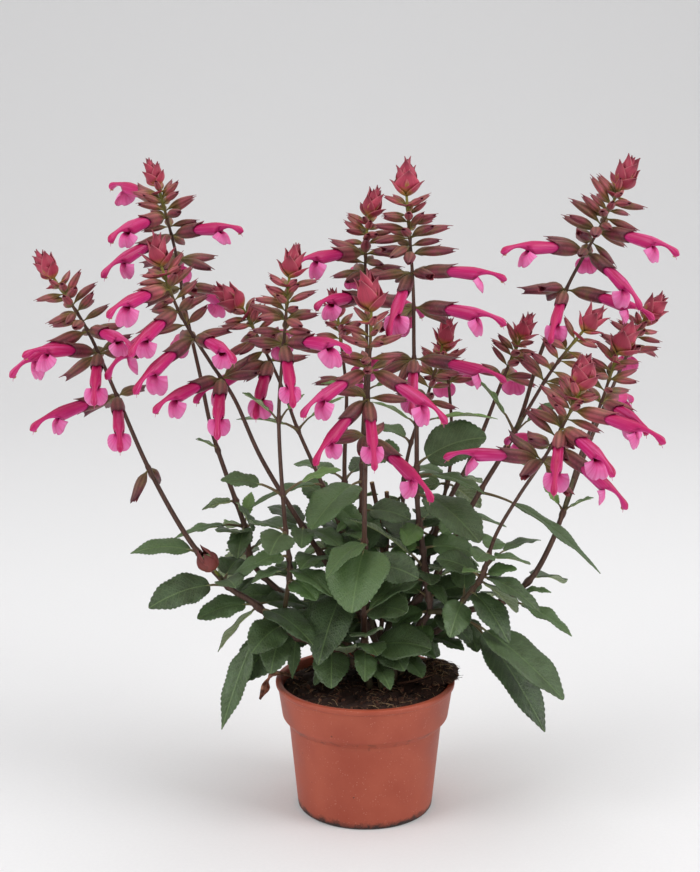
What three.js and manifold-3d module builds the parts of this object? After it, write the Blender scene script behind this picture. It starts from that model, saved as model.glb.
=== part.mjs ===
// Potted ornamental sage: a plain moulded pot of compost with nine leafy stems, which carry
// seventeen spikes of pink two-lipped flowers in maroon calyces, and one closed bud.
// Millimetres, +Z up. The origin is the middle of the pot's underside, and -Y is the front.
import * as THREE from 'three';
import { mergeVertices } from 'three/addons/utils/BufferGeometryUtils.js';
import Module from 'manifold-3d';

const wasm = await Module();
wasm.setup();
const { Manifold } = wasm;

// Driving dimensions of the pot
const RIM_RADIUS = 65;
const POT_HEIGHT = 94.6;
const BASE_RADIUS = 49;
const BODY_TOP_RADIUS = 55.3;
const COLLAR_RADIUS = 60;
const COLLAR_BOTTOM = 68.6;
const COLLAR_UNDERCUT = 5.2;
const LIP_HEIGHT = 4.4;
const LIP_WIDTH = 4.6;
const ROUNDING = 1.2;
const WALL = 2.2;
const POT_SIDES = 34;
const DRAIN_HOLES = 8;
const DRAIN_HOLE_RADIUS = 4;
const DRAIN_CIRCLE = 38;

// The clear gap between pieces that touch
const CLEARANCE = 0.3;

// Driving dimensions of the compost, its heap over the rim and the dead leaf
const COMPOST = {
  top: 90, edge: 86, relief: 1.3, clearance: 0.5, sides: 20, ring_shares: [0.97, 0.72, 0.46, 0.18],
  heap_at: [52, 8], heap_reach: 34, heap_height: 8,
};
const HEAP = {
  at: [49, 6], stretch: 1.35, sides: 10, rough: 0.14, bumps: 1.2,
  rings: [[17, 0], [18.5, 2.6], [14, 5.2], [5, 6.6]],
};
const WITHERED = { half_width: 3.6, half_thickness: 0.8 };

// Driving dimensions of the stems
const STEM_RADIUS = { foot: 3.1, top: 1.15, twig: 1.6 };
const MIDDLE_SHARE = 0.62;
const BRANCH_SHARE = 0.72;
const STUB_RADIUS = 2.1;
const FINE_STEP = 4;
const LONGEST_STEP = 34;
const STEM_STEP = 6;
const STUB_SPACING = 24;
const BELT = 2.6;

// Driving dimensions of a calyx, an open flower and its lower lip, outward from the stem's middle
const CALYX = { reach: 33, bell_at: 22, half_width: 3.4, half_height: 4.2, tip_raise: 2.2, bend: 8 };
const FLOWER = {
  reach: 69, throat: 50, swelling: 42, lip_at: 47, bend: 13, half_width: 2.9, half_height: 3.9,
  neck_half_width: 1.8, neck_half_height: 2.1, throat_raise: 0.8, hood_raise: 1.4,
};
const LIP = { broad_at: 10, half_width: 7.4, end_at: 15, end_half_width: 4.6, half_thickness: 0.6 };
const LIP_LEAN = 0.44;
const FLOWER_SIZE = [0.94, 1.04];
const CALYX_SIZE = { youngest: 0.5, growth: 0.13, spread: [0.88, 1.06] };
const CALYX_RISE = { youngest: 24, fall: 9, spread: 20 };
const HEADING_SPREAD = 20;

// The closed bracts at a spike's top: rings by distance and radius, and for each band of faces
// which ones carry a pointed bract, with the distance and the radius of its tip.
const CONE = {
  length: 27,
  rings: [[4, 4.2], [11, 5.8], [19, 4.6]],
  bracts: [[[0, 3], 15, 12], [[1, 2, 4, 5], 21, 7.6], [[0, 2, 4], 29.5, 4.6]],
};
const BUD = {
  length: 17,
  rings: [[3, 6.5], [9, 8.2], [14, 5.5]],
  bracts: [[[0, 2, 4], 10, 10], [[1, 3, 5], 15, 9], [[0, 2, 4], 18, 4]],
};

// Driving dimensions of the leaves
const LEAF = {
  half_thickness: 0.75, fold: 0.16, arch: 0.2, arch_at: 0.45, stalk_radius: 1.05, short_stalk: 0.16,
  tooth: 0.84, narrow: 15.5, broad: 29, widest_near: 0.78, bluntness: 0.85,
};

// Room between pieces, the lengths within which organs of one stem may meet, and the turns and
// lifts in degrees that an organ may make to keep clear of the others
const SPACING = 0.5;
const ROOT_ZONE = 16;
const LEAF_ROOT_ZONE = 18;
const TURNS = [0, 10, -10, 20, -20, 32, -32, 46, -46];
const LIFTS = [0, 12, -12, 24, -24];

// The balls that stand for an organ when its place is found: distance along it and radius, and for
// the lower lip the distance down, the distance aside and the radius
const CALYX_BALLS = [[7, 2.6], [12, 3.5], [17, 4.4], [22, 5.1], [27, 4], [31, 2.2]];
const FLOWER_BALLS = [
  [7, 2.6], [12, 3.5], [17, 4.4], [22, 5.1], [27, 4], [33, 3], [38, 3.9], [43, 4.9], [49, 5.2],
  [54, 4.4], [60, 3.1], [66, 1.8],
];
const LIP_BALLS = [[7, 0, 4], [11, 5, 3.4], [11, -5, 3.4], [15, 0, 3.6]];
const CONE_BALLS = [[5, 5.5], [12, 7.5], [19, 7], [26, 4]];
const BUD_BALLS = [[8, 9]];
const LEAF_BALLS = { spacing: 6.5, aside: 5.5, wide: 2.9, narrow: 1.5 };

const radians = THREE.MathUtils.degToRad;
const { lerp } = THREE.MathUtils;
const vector = (x, y, z) => new THREE.Vector3(x, y, z);

// Each spike's stem runs through its points to the base of the terminal bracts, which lean to tip.
// split is the height where the leafy stem ends and the flower spike begins. whorls holds, from the
// top down, each ring's distance below the bracts and its number of calyces. flowers holds each open
// flower's ring, its heading round the stem (0 is +X, -90 is the front) and its rise, in degrees.
const spikes = {
  '01': {
    plant: '01', split: 244, spin: 10, tip: [-226, -10, 407],
    path: [[2, -5, 78], [2, -5, 98], [-18, -7, 116], [-53, -8, 131], [-80, -13, 156], [-97, -14, 168],
      [-124, -12, 201], [-151, -10, 251], [-172, -10, 303], [-191, -10, 349], [-213, -10, 385]],
    whorls: [[9, 3], [18, 4], [28, 5], [43, 5], [60, 6], [92, 5], [147, 2]],
    flowers: [[3, -140, -25], [3, -54, -6], [4, -138, 3], [4, -84, -24], [5, -138, -14], [5, -80, -24]],
  },
  '02': {
    plant: '02', split: 264, spin: 40, tip: [-155, 50, 465],
    path: [[1, 7, 78], [1, 7, 98], [-16, 12, 120], [-62, 22, 153], [-83, 28, 174], [-88, 32, 199],
      [-110, 40, 263], [-120, 44, 310], [-130, 48, 357], [-136, 50, 396], [-148, 50, 446]],
    whorls: [[6, 3], [14, 4], [24, 5], [37, 5], [54, 6], [75, 5]],
    flowers: [[1, 132, 8], [2, -117, -12], [3, -35, 3], [3, -134, -24], [4, 95, -12], [5, 60, -20]],
  },
  '03': {
    plant: '03', split: 250, spin: 75, tip: [-141, -22, 416],
    path: [[11, 3, 78], [11, 3, 98], [7, 4, 122], [-15, 0, 161], [-43, -6, 207], [-72, -14, 259],
      [-90, -18, 302], [-106, -20, 328], [-126, -22, 362], [-138, -22, 394]],
    whorls: [[8, 4], [17, 5], [33, 6], [54, 6], [87, 5]],
    flowers: [[1, -120, -12], [2, -112, -20], [2, -160, -30], [3, -122, -26], [3, -62, -8],
      [4, -88, -26], [4, -128, -14], [3, 110, -14]],
  },
  '04': {
    plant: '03', split: 281, spin: 15, tip: [-107, 20, 377], branch: true,
    path: [[7, 4, 122], [1, 6, 150], [-8, 8, 180], [-29, 10, 232], [-48, 14, 275], [-57, 16, 300],
      [-68, 18, 325], [-87, 20, 362]],
    whorls: [[6, 4], [15, 5], [26, 5], [43, 6]],
    flowers: [[3, -134, -22], [3, -86, -26], [2, 70, -8]],
  },
  '05': {
    plant: '01', split: 298, spin: 50, tip: [-46, -40, 410], branch: true,
    path: [[-53, -8, 131], [-57, -14, 150], [-53, -24, 183], [-56, -30, 220], [-59, -38, 291],
      [-55, -40, 345], [-51, -40, 388]],
    whorls: [[8, 5], [18, 6], [29, 6], [45, 6]],
    flowers: [[3, -49, 0], [3, -82, -30], [3, 95, -10]],
  },
  '06': {
    plant: '04', split: 322, spin: 20, tip: [10, 48, 447], branch: true,
    path: [[0, -14, 121], [-1, -6, 150], [-2, 0, 183], [-3, 8, 225], [-2, 20, 267], [1, 38, 329],
      [0, 46, 392], [2, 48, 424]],
    whorls: [[6, 3], [14, 5], [27, 6], [40, 6], [59, 5]],
    flowers: [[2, -138, -6], [4, -121, -2], [3, 110, -10], [4, 50, -16]],
  },
  '07': {
    plant: '05', split: 290, spin: 65, tip: [28, 14, 466],
    path: [[21, -2, 78], [21, -2, 98], [24, -1, 112], [36, 0, 131], [46, 0, 145], [44, 0, 165],
      [41, 2, 191], [37, 5, 224], [36, 10, 284], [34, 12, 330], [33, 14, 378], [28, 14, 440]],
    whorls: [[9, 4], [19, 5], [30, 5], [41, 6], [54, 6], [78, 5], [114, 5]],
    flowers: [[4, -7, -5], [5, -30, -8], [4, -108, -34], [6, -11, -14], [6, -94, -26], [5, 100, -10],
      [6, 130, -16]],
  },
  '08': {
    plant: '04', split: 258, spin: 30, tip: [1, -54, 389],
    path: [[11, -8, 78], [11, -8, 98], [0, -14, 121], [-1, -22, 160], [-1, -30, 202], [-1, -36, 233],
      [0, -46, 285], [1, -50, 311], [2, -52, 335], [3, -54, 367]],
    whorls: [[11, 4], [25, 6], [40, 6], [59, 5], [86, 5]],
    flowers: [[2, -145, -22], [3, -128, -34], [2, -38, -26], [3, -96, -36], [4, -44, -32]],
  },
  '09': {
    plant: '06', split: 262, spin: 0, tip: [-25, 84, 372],
    path: [[10, 15, 78], [10, 15, 98], [11, 16, 114], [0, 28, 145], [-10, 42, 183], [-15, 60, 228],
      [-14, 72, 272], [-14, 78, 297], [-20, 84, 348]],
    whorls: [[7, 3], [17, 4], [50, 5]],
    flowers: [[2, 80, -10]],
  },
  '10': {
    plant: '06', split: 270, spin: 45, tip: [65, 74, 351], branch: true,
    path: [[11, 16, 114], [23, 26, 145], [28, 48, 204], [29, 56, 229], [35, 62, 258], [47, 70, 291],
      [58, 74, 328]],
    whorls: [[11, 4], [24, 5], [43, 4]],
    flowers: [[1, 60, -4]],
  },
  '11': {
    plant: '08', split: 268, spin: 60, tip: [124, 66, 356],
    path: [[23, 18, 78], [23, 18, 98], [26, 18, 118], [37, 30, 144], [56, 50, 200], [79, 60, 244],
      [92, 64, 275], [103, 66, 305], [115, 66, 334]],
    whorls: [[6, 3], [15, 5], [31, 5]],
    flowers: [[2, 75, -12]],
  },
  '12': {
    plant: '07', split: 283, spin: 25, tip: [187, 34, 465],
    path: [[18, 11, 78], [18, 11, 98], [20, 11, 114], [24, 10, 137], [40, 12, 152], [52, 14, 168],
      [61, 14, 190], [82, 16, 229], [108, 20, 275], [124, 26, 326], [143, 32, 374], [163, 34, 412],
      [179, 34, 444]],
    whorls: [[5, 3], [13, 4], [23, 5], [34, 6], [50, 6], [80, 5]],
    flowers: [[4, -155, 0], [3, -42, -13], [4, -66, -34], [5, -20, -18], [5, -108, -30], [4, 80, -10]],
  },
  '13': {
    plant: '07', split: 284, spin: 80, tip: [164, -4, 365], branch: true,
    path: [[108, 20, 275], [117, 14, 293], [126, 6, 312], [136, 0, 329], [150, -4, 348]],
    whorls: [[9, 4], [27, 4], [46, 4]],
    flowers: [],
  },
  '14': {
    plant: '05', split: 206, spin: 5, tip: [145, -62, 345], branch: true,
    path: [[46, 0, 145], [62, -10, 149], [72, -18, 163], [81, -24, 178], [89, -34, 210], [103, -44, 240],
      [118, -54, 268], [133, -60, 299], [140, -62, 316]],
    whorls: [[6, 4], [15, 5], [29, 6], [43, 5], [55, 5]],
    flowers: [[4, 178, 0], [2, -102, -30], [1, -28, -16], [3, -12, -40], [2, -70, -16], [3, 110, -10]],
  },
  '15': {
    plant: '09', split: 240, spin: 35, tip: [186, 0, 352], branch: true,
    path: [[144, 18, 217], [153, 12, 257], [165, 6, 294], [175, 0, 332]],
    whorls: [[8, 4], [20, 6], [38, 5]],
    flowers: [[2, -72, -10], [2, 60, -8]],
  },
  '16': {
    plant: '09', split: 256, spin: 10, tip: [220, 56, 369],
    path: [[27, 7, 78], [27, 7, 98], [33, 8, 118], [51, 8, 127], [71, 10, 141], [98, 12, 148],
      [120, 14, 165], [134, 16, 190], [144, 18, 217], [163, 30, 265], [186, 48, 313], [204, 56, 350]],
    whorls: [[7, 4], [15, 4], [28, 5]],
    flowers: [[2, 80, -12]],
  },
  '17': {
    plant: '01', split: 178, spin: 0, tip: [-112, -32, 196], branch: true, bud: true,
    path: [[-97, -14, 168], [-100, -20, 174], [-106, -26, 184]],
    whorls: [],
    flowers: [],
  },
  '18': {
    plant: '08', split: 262, spin: 70, tip: [61, 102, 340], branch: true,
    path: [[26, 18, 118], [32, 34, 143], [49, 60, 182], [64, 84, 223], [67, 96, 264], [62, 102, 320]],
    whorls: [[8, 4], [24, 5]],
    flowers: [[1, 90, -10]],
  },
};

// Leaves, by the stem that they grow from: height on the stem, the place of the tip, the width,
// the turn of the blade about its rib in degrees, and the stalk's share of the length.
const leaves = {
  '01': [
    [192, [-165, -18, 193], 18, 30, 0.12], [168, [-150, -40, 160], 26, 35, 0.25],
    [146, [-100, -52, 76], 19, 0, 0.38], [152, [-107, 4, 113], 15, 0, 0.15],
    [150, [-36, -56, 139], 27, 0, 0.15], [170, [-60, -24, 191], 18, -25, 0.15],
    [131, [-64, -4, 106], 14, 0, 0.3], [129, [-52, -22, 102], 10, 0, 0.2],
    [119, [-24, -46, 104], 26, 0, 0.2], [115, [-38, -30, 106], 16, 0, 0.2],
    [113, [-14, -34, 118], 16, 0, 0.2],
  ],
  '05': [
    [183, [-23, -58, 174], 22, 0, 0.1], [183, [-78, -46, 180], 15, 0, 0.15],
    [238, [-99, -38, 250], 17, 25, 0.4], [238, [-17, -42, 258], 14, -10, 0.35],
    [290, [-84, -45, 312], 12, 0, 0.3], [290, [-42, -30, 308], 8, 0, 0.4],
  ],
  '02': [
    [199, [-139, 18, 194], 14, 0, 0.3], [199, [-48, 10, 203], 20, 0, 0.2],
    [190, [-110, 8, 203], 22, 0, 0.1], [172, [-92, 0, 168], 14, 0, 0.2],
    [176, [-98, 72, 168], 24, 0, 0.2], [150, [-62, 68, 138], 26, 0, 0.2],
    [126, [-44, 52, 116], 22, 0, 0.2], [256, [-122, 30, 270], 7, 0, 0.2],
    [200, [-84, 48, 222], 9, 0, 0.2],
  ],
  '03': [
    [161, [-33, -50, 122], 32, 0, 0.12], [207, [-70, 26, 208], 22, 0, 0.15],
    [185, [-52, -44, 190], 22, 0, 0.15], [207, [-16, -30, 200], 22, 0, 0.15],
  ],
  '04': [
    [236, [-83, -6, 222], 16, 0, 0.1], [275, [-84, 8, 301], 14, 0, 0.25],
    [275, [-15, 14, 299], 11, 0, 0.3], [196, [-34, 56, 196], 24, 0, 0.15],
    [160, [-22, 56, 146], 26, 0, 0.15],
  ],
  '08': [
    [200, [-10, -76, 168], 44, 0, 0.12], [204, [-27, -70, 190], 22, 0, 0.05],
    [125, [8, -46, 128], 20, 0, 0.2], [110, [17, -46, 103], 16, 0, 0.2],
  ],
  '06': [
    [238, [-34, -28, 203], 36, 0, 0.2], [250, [24, 2, 262], 22, -40, 0.15],
    [300, [-32, 30, 306], 10, 0, 0.25], [300, [34, 42, 306], 10, 0, 0.25],
  ],
  '07': [
    [168, [2, -52, 163], 24, 0, 0.2], [166, [56, -24, 158], 12, 0, 0.2],
    [176, [-14, -18, 219], 20, 0, 0.2], [230, [78, -38, 206], 36, 0, 0.2],
    [243, [82, -28, 238], 17, 0, 0.25], [251, [88, -4, 262], 34, -55, 0.15],
    [279, [4, 4, 297], 11, 0, 0.2], [279, [93, 2, 273], 12, 0, 0.25],
    [112, [40, -30, 106], 18, 0, 0.2], [120, [50, -18, 116], 16, 0, 0.2],
    [204, [74, 38, 196], 24, 0, 0.15],
  ],
  '14': [
    [146, [134, -68, 104], 40, 0, 0.42], [166, [94, -42, 130], 24, 0, 0.1],
    [178, [120, -44, 158], 22, 0, 0.1], [174, [108, -6, 146], 26, 0, 0.15],
    [192, [116, -14, 184], 18, 0, 0.2], [184, [149, -6, 191], 12, 0, 0.35],
    [180, [66, -40, 186], 9, 0, 0.2],
  ],
  '09': [
    [183, [-48, 78, 178], 26, 0, 0.15], [183, [20, 92, 176], 24, 0, 0.15],
    [228, [-54, 82, 236], 20, 0, 0.2], [228, [14, 98, 238], 20, 0, 0.2],
  ],
  '10': [
    [200, [34, 4, 196], 30, 0, 0.15], [256, [8, 92, 264], 16, 0, 0.2], [229, [70, 84, 222], 22, 0, 0.2],
  ],
  '12': [
    [272, [81, 26, 309], 14, 0, 0.3], [270, [144, 34, 292], 12, 0, 0.3],
    [260, [132, 4, 263], 9, 0, 0.2], [229, [166, -14, 177], 21, 0, 0.3],
    [190, [98, 62, 180], 26, 0, 0.15],
  ],
  '11': [
    [196, [46, 104, 190], 26, 0, 0.15], [200, [108, 68, 190], 24, 0, 0.15],
    [244, [66, 106, 250], 18, 0, 0.2], [244, [124, 52, 240], 18, 0, 0.2],
  ],
  '16': [
    [149, [145, -26, 135], 19, 0, 0.3], [154, [134, 4, 158], 10, 0, 0.2],
    [140, [124, -54, 75], 36, 0, 0.3], [122, [70, -18, 122], 17, 0, 0.25],
    [164, [150, 54, 150], 24, 0, 0.2], [214, [162, 4, 228], 9, 0, 0.25], [214, [130, 30, 230], 9, 0, 0.25],
    [150, [96, 58, 138], 24, 0, 0.2],
  ],
  '18': [
    [223, [92, 114, 214], 20, 0, 0.2], [223, [34, 112, 226], 20, 0, 0.2],
  ],
};

// Old stems that were cut back: the plant that each grows from, and its points.
const stubs = [
  ['06', [[11, 16, 114], [14, 26, 160], [10, 34, 205], [5, 36, 232]]],
  ['06', [[14, 26, 160], [17, 38, 200], [16, 40, 224]]],
];

const potMaterial = new THREE.MeshStandardMaterial({ color: 0xb0604a, roughness: 0.5, metalness: 0 });
const compostMaterial = new THREE.MeshStandardMaterial({ color: 0x2a1b13, roughness: 0.95, metalness: 0 });
const foliageMaterial = new THREE.MeshStandardMaterial({ color: 0x3f5f3c, roughness: 0.6, metalness: 0 });
const flowerMaterial = new THREE.MeshStandardMaterial({ color: 0xa02f5a, roughness: 0.55, metalness: 0 });
const witheredMaterial = new THREE.MeshStandardMaterial({ color: 0x4a2c22, roughness: 0.8, metalness: 0 });

// A repeatable number from 0 to 1 for a whole number.
function chance(seed) {
  let n = (Math.imul(seed, 1664525) + 1013904223) >>> 0;
  n = (n ^ (n >>> 15)) >>> 0;
  n = Math.imul(n, 2246822519) >>> 0;
  n = (n ^ (n >>> 13)) >>> 0;
  return n / 4294967296;
}

// Points every few millimetres along the smooth curve through a list of points.
function along(points, spacing) {
  const curve = new THREE.CatmullRomCurve3(points.map((p) => vector(...p)), false, 'catmullrom', 0.5);
  const fine = curve.getPoints((points.length - 1) * 24);
  const result = [fine[0]];
  let travelled = 0;
  let length = 0;
  for (let i = 1; i < fine.length; i += 1) length += fine[i].distanceTo(fine[i - 1]);
  const steps = Math.max(1, Math.round(length / spacing));
  const step = length / steps;
  for (let i = 1; i < fine.length; i += 1) {
    const piece = fine[i].distanceTo(fine[i - 1]);
    while (travelled + piece >= step * result.length && result.length < steps) {
      const share = (step * result.length - travelled) / piece;
      result.push(fine[i - 1].clone().lerp(fine[i], share));
    }
    travelled += piece;
  }
  result.push(fine[fine.length - 1]);
  return result;
}

// The place where a fine run first rises through a height, and the index of the point above it.
function atHeight(run, height) {
  for (let i = 1; i < run.length; i += 1) {
    if (run[i].z >= height && run[i - 1].z < height) {
      const share = (height - run[i - 1].z) / (run[i].z - run[i - 1].z);
      return { index: i, point: run[i - 1].clone().lerp(run[i], share) };
    }
  }
  return { index: 1, point: run[0].clone() };
}

// The point at a distance below the top of a fine run.
function belowTop(run, distance) {
  let left = distance;
  for (let i = run.length - 1; i > 0; i -= 1) {
    const piece = run[i].distanceTo(run[i - 1]);
    if (piece >= left) return run[i].clone().lerp(run[i - 1], left / piece);
    left -= piece;
  }
  return run[0].clone();
}

// A body that is built up from corners: rings of a stem, and organs that are raised from its faces.
// Corners of a face run anticlockwise as they are seen from outside.
class Shell {
  constructor() {
    this.corners = [];
    this.triangles = [];
  }

  ring(points) {
    return points.map((point) => this.corners.push(point) - 1);
  }

  quad(a, b, c, d) {
    this.triangles.push([a, b, c], [a, c, d]);
  }

  // The faces between two rings, apart from those that an organ grows from.
  band(lower, upper, open = []) {
    lower.forEach((_, k) => {
      const next = (k + 1) % lower.length;
      if (!open.includes(k)) this.quad(lower[k], lower[next], upper[next], upper[k]);
    });
  }

  point(ring, place) {
    const tip = this.corners.push(place) - 1;
    ring.forEach((corner, k) => this.triangles.push([corner, ring[(k + 1) % ring.length], tip]));
  }

  flat(ring) {
    for (let k = 2; k < ring.length; k += 1) this.triangles.push([ring[0], ring[k - 1], ring[k]]);
  }

  geometry() {
    const places = this.corners.flatMap((corner) => corner.toArray());
    const geometry = new THREE.BufferGeometry();
    geometry.setAttribute('position', new THREE.Float32BufferAttribute(places, 3));
    geometry.setIndex(this.triangles.flat());
    return geometry;
  }
}

function ringAt(centre, across, over, halfWidth, halfHeight, sides, phase = 0) {
  const ring = [];
  for (let k = 0; k < sides; k += 1) {
    const turn = ((k + 0.5) / sides) * 2 * Math.PI + phase;
    ring.push(centre.clone()
      .addScaledVector(across, halfWidth * Math.cos(turn))
      .addScaledVector(over, halfHeight * Math.sin(turn)));
  }
  return ring;
}

// A body through rings of points, closed by flat ends.
function loft(rings) {
  const shell = new Shell();
  const placed = rings.map((ring) => shell.ring(ring));
  shell.flat([...placed[0]].reverse());
  for (let i = 0; i + 1 < placed.length; i += 1) shell.band(placed[i], placed[i + 1]);
  shell.flat(placed[placed.length - 1]);
  return shell.geometry();
}

function solid(geometry) {
  const plain = geometry.clone();
  plain.deleteAttribute('normal');
  plain.deleteAttribute('uv');
  const merged = mergeVertices(plain, 1e-4);
  const vertProperties = new Float32Array(merged.attributes.position.array);
  const triVerts = new Uint32Array(merged.index.array);
  return new Manifold(new wasm.Mesh({ numProp: 3, vertProperties, triVerts }));
}

function mesh(name, shape, material) {
  const { vertProperties, triVerts } = shape.getMesh();
  const geometry = new THREE.BufferGeometry();
  geometry.setAttribute('position', new THREE.Float32BufferAttribute(vertProperties, 3));
  geometry.setIndex(new THREE.Uint32BufferAttribute(triVerts, 1));
  geometry.computeVertexNormals();
  const piece = new THREE.Mesh(geometry, material);
  piece.name = name;
  return piece;
}

// The directions across a stem at a place on its run, level ones first.
function crossSection(run, i) {
  const ahead = run[Math.min(i + 1, run.length - 1)];
  const behind = run[Math.max(i - 1, 0)];
  const direction = ahead.clone().sub(behind).normalize();
  const across = vector(0, 1, 0).cross(direction).normalize();
  return { across, over: direction.clone().cross(across) };
}

// The rings of a square stem that tapers along its run.
function squareRings(run, firstRadius, lastRadius) {
  return run.map((point, i) => {
    const { across, over } = crossSection(run, i);
    const radius = lerp(firstRadius, lastRadius, i / (run.length - 1));
    return ringAt(point, across, over, radius, radius, 4);
  });
}

// Every so many points of a run, with its last one.
function sparse(run, step) {
  return run.filter((_, i) => i === run.length - 1 || (i % step === 0 && run.length - 1 - i >= step / 2));
}

// A place on an organ that leaves the stem at a heading and bends down along its length.
function onArc(organ, distance) {
  const heading = radians(organ.heading);
  const start = radians(organ.rise + organ.bend);
  const curl = (2 * radians(organ.bend)) / organ.length;
  const now = start - curl * distance;
  const reach = (Math.sin(start) - Math.sin(now)) / curl;
  const lift = (Math.cos(now) - Math.cos(start)) / curl;
  const out = vector(Math.cos(heading), Math.sin(heading), 0);
  return {
    point: organ.base.clone().addScaledVector(out, reach).add(vector(0, 0, lift)),
    forward: out.clone().multiplyScalar(Math.cos(now)).add(vector(0, 0, Math.sin(now))),
    over: out.clone().multiplyScalar(-Math.sin(now)).add(vector(0, 0, Math.cos(now))),
    across: vector(Math.sin(heading), -Math.cos(heading), 0),
  };
}

// Four corners round a centre, in the order of a face's corners.
function fourCorners(centre, across, over, halfWidth, halfHeight) {
  return [[1, -1], [-1, -1], [-1, 1], [1, 1]].map(([a, o]) => (
    centre.clone().addScaledVector(across, a * halfWidth).addScaledVector(over, o * halfHeight)));
}

function organSection(organ, distance, halfWidth, halfHeight, raise = 0) {
  const place = onArc(organ, distance);
  const centre = place.point.addScaledVector(place.over, raise);
  return fourCorners(centre, place.across, place.over, halfWidth, halfHeight);
}

// Where stems and organs are, as balls, so that no two nodes cross. Places are given in the order
// of the names.
const taken = [];
const spikeNames = Object.keys(spikes).sort();
const leafyNames = Object.keys(leaves).sort();
const plants = [...new Set(spikeNames.map((name) => spikes[name].plant))].sort();

function keepBalls(owner, balls) {
  for (const ball of balls) taken.push({ owner, ...ball });
}

function compostHeight(x, y) {
  const bumps = Math.sin(x * 0.21 + 1.3) * Math.cos(y * 0.17 - 0.4) + 0.6 * Math.sin(x * 0.53 - y * 0.47);
  const away = Math.hypot(x - COMPOST.heap_at[0], y - COMPOST.heap_at[1]) / COMPOST.heap_reach;
  return COMPOST.top + COMPOST.relief * bumps + COMPOST.heap_height * Math.max(0, 1 - away * away);
}

function clearOfPot(ball) {
  const radius = Math.hypot(ball.at.x, ball.at.y);
  if (radius > RIM_RADIUS + 5 + ball.r || ball.at.z > POT_HEIGHT + 20) return true;
  const ground = Math.max(POT_HEIGHT, compostHeight(ball.at.x, ball.at.y));
  return ball.at.z > ground + ball.r + 1;
}

// Organs of one node may meet where they leave the stem, and they may lie against that stem.
function isClear(owner, balls) {
  return balls.every((ball) => clearOfPot(ball) && taken.every((other) => {
    if (other.owner === owner && (other.stem || (ball.near && other.near))) return true;
    const room = ball.r + other.r + SPACING;
    return ball.at.distanceToSquared(other.at) >= room * room;
  }));
}

function stemBalls(run, firstRadius, lastRadius) {
  return run.map((at, i) => {
    const radius = lerp(firstRadius, lastRadius, i / (run.length - 1));
    return { at, r: radius + CLEARANCE, stem: true };
  });
}

// Balls along an organ, each with its distance and radius; those near the stem are marked.
function organBalls(organ, steps) {
  return steps.map(([distance, r]) => ({
    at: onArc(organ, distance * organ.size).point,
    r: r * organ.size,
    near: distance * organ.size < ROOT_ZONE,
  }));
}

// The lower lip hangs from the throat, a little forward of straight down.
function lipFrame(organ) {
  const throat = onArc(organ, FLOWER.lip_at * organ.size);
  const hang = throat.forward.clone().multiplyScalar(Math.sin(LIP_LEAN))
    .addScaledVector(throat.over, -Math.cos(LIP_LEAN));
  return { throat, hang };
}

function calyxBalls(organ) {
  return organBalls(organ, CALYX_BALLS);
}

function flowerBalls(organ) {
  const { throat, hang } = lipFrame(organ);
  const lip = LIP_BALLS.map(([down, aside, r]) => ({
    at: throat.point.clone().addScaledVector(hang, down * organ.size)
      .addScaledVector(throat.across, aside * organ.size),
    r: r * organ.size,
  }));
  return [...organBalls(organ, FLOWER_BALLS), ...lip];
}

// An organ as planned, or turned and lifted by the smallest amount that keeps it clear.
const tries = TURNS.flatMap((turn) => LIFTS.map((lift) => [turn, lift]))
  .sort((a, b) => (Math.abs(a[0]) + 1.2 * Math.abs(a[1])) - (Math.abs(b[0]) + 1.2 * Math.abs(b[1])));

function place(owner, organ, ballsOf) {
  for (const [turn, lift] of tries) {
    const moved = { ...organ, heading: organ.heading + turn, rise: organ.rise + lift };
    const balls = ballsOf(moved);
    if (isClear(owner, balls)) {
      keepBalls(owner, balls);
      return moved;
    }
  }
  return null;
}

// The stems come first: each one's fine run, cut in two where its flower spike begins.
const runs = {};
for (const name of spikeNames) {
  const spike = spikes[name];
  const fine = along(spike.path, FINE_STEP);
  const { index, point } = atHeight(fine, spike.split);
  const foot = spike.bud ? STEM_RADIUS.twig : STEM_RADIUS.foot * (spike.branch ? BRANCH_SHARE : 1);
  const middle = lerp(foot, STEM_RADIUS.top, MIDDLE_SHARE);
  const lower = [...fine.slice(0, index), point];
  const upper = [point, ...fine.slice(index)];
  const base = fine[fine.length - 1];
  const lean = vector(...spike.tip).sub(base).normalize();
  runs[name] = { fine, lower, upper, base, lean, foot, middle };
  keepBalls('plant ' + spike.plant, stemBalls(lower, foot, middle));
  keepBalls('spike ' + name, stemBalls(upper, middle, STEM_RADIUS.top));
  const top = spike.bud ? BUD_BALLS : CONE_BALLS;
  keepBalls('spike ' + name, top.map(([d, r]) => ({ at: base.clone().addScaledVector(lean, d), r })));
}
for (const [plant, path] of stubs) {
  keepBalls('plant ' + plant, stemBalls(along(path, FINE_STEP), STUB_RADIUS, STUB_RADIUS));
}

// A ring's six faces are turned so that one of them looks along its first flower's heading, and
// otherwise each ring's faces stand between those of the ring below.
function facePhase(spike, ring) {
  const first = spike.flowers.find((flower) => flower[0] === ring);
  if (!first) return spike.spin + 30 * (ring % 2);
  return spike.spin + THREE.MathUtils.euclideanModulo(first[1] - spike.spin + 30, 60) - 30;
}

function apart(a, b) {
  return Math.abs(((((a - b) % 360) + 540) % 360) - 180);
}

function freeFace(phase, used, heading) {
  const faces = [0, 1, 2, 3, 4, 5].filter((k) => !used.includes(k));
  faces.sort((a, b) => apart(phase + 60 * (a + 1), heading) - apart(phase + 60 * (b + 1), heading));
  return faces[0];
}

// Open flowers and the calyces of each ring, each on a face of its own.
const organs = [];

function facesOf(name, ring) {
  return organs.filter((organ) => organ.name === name && organ.ring === ring).map((organ) => organ.face);
}

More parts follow.
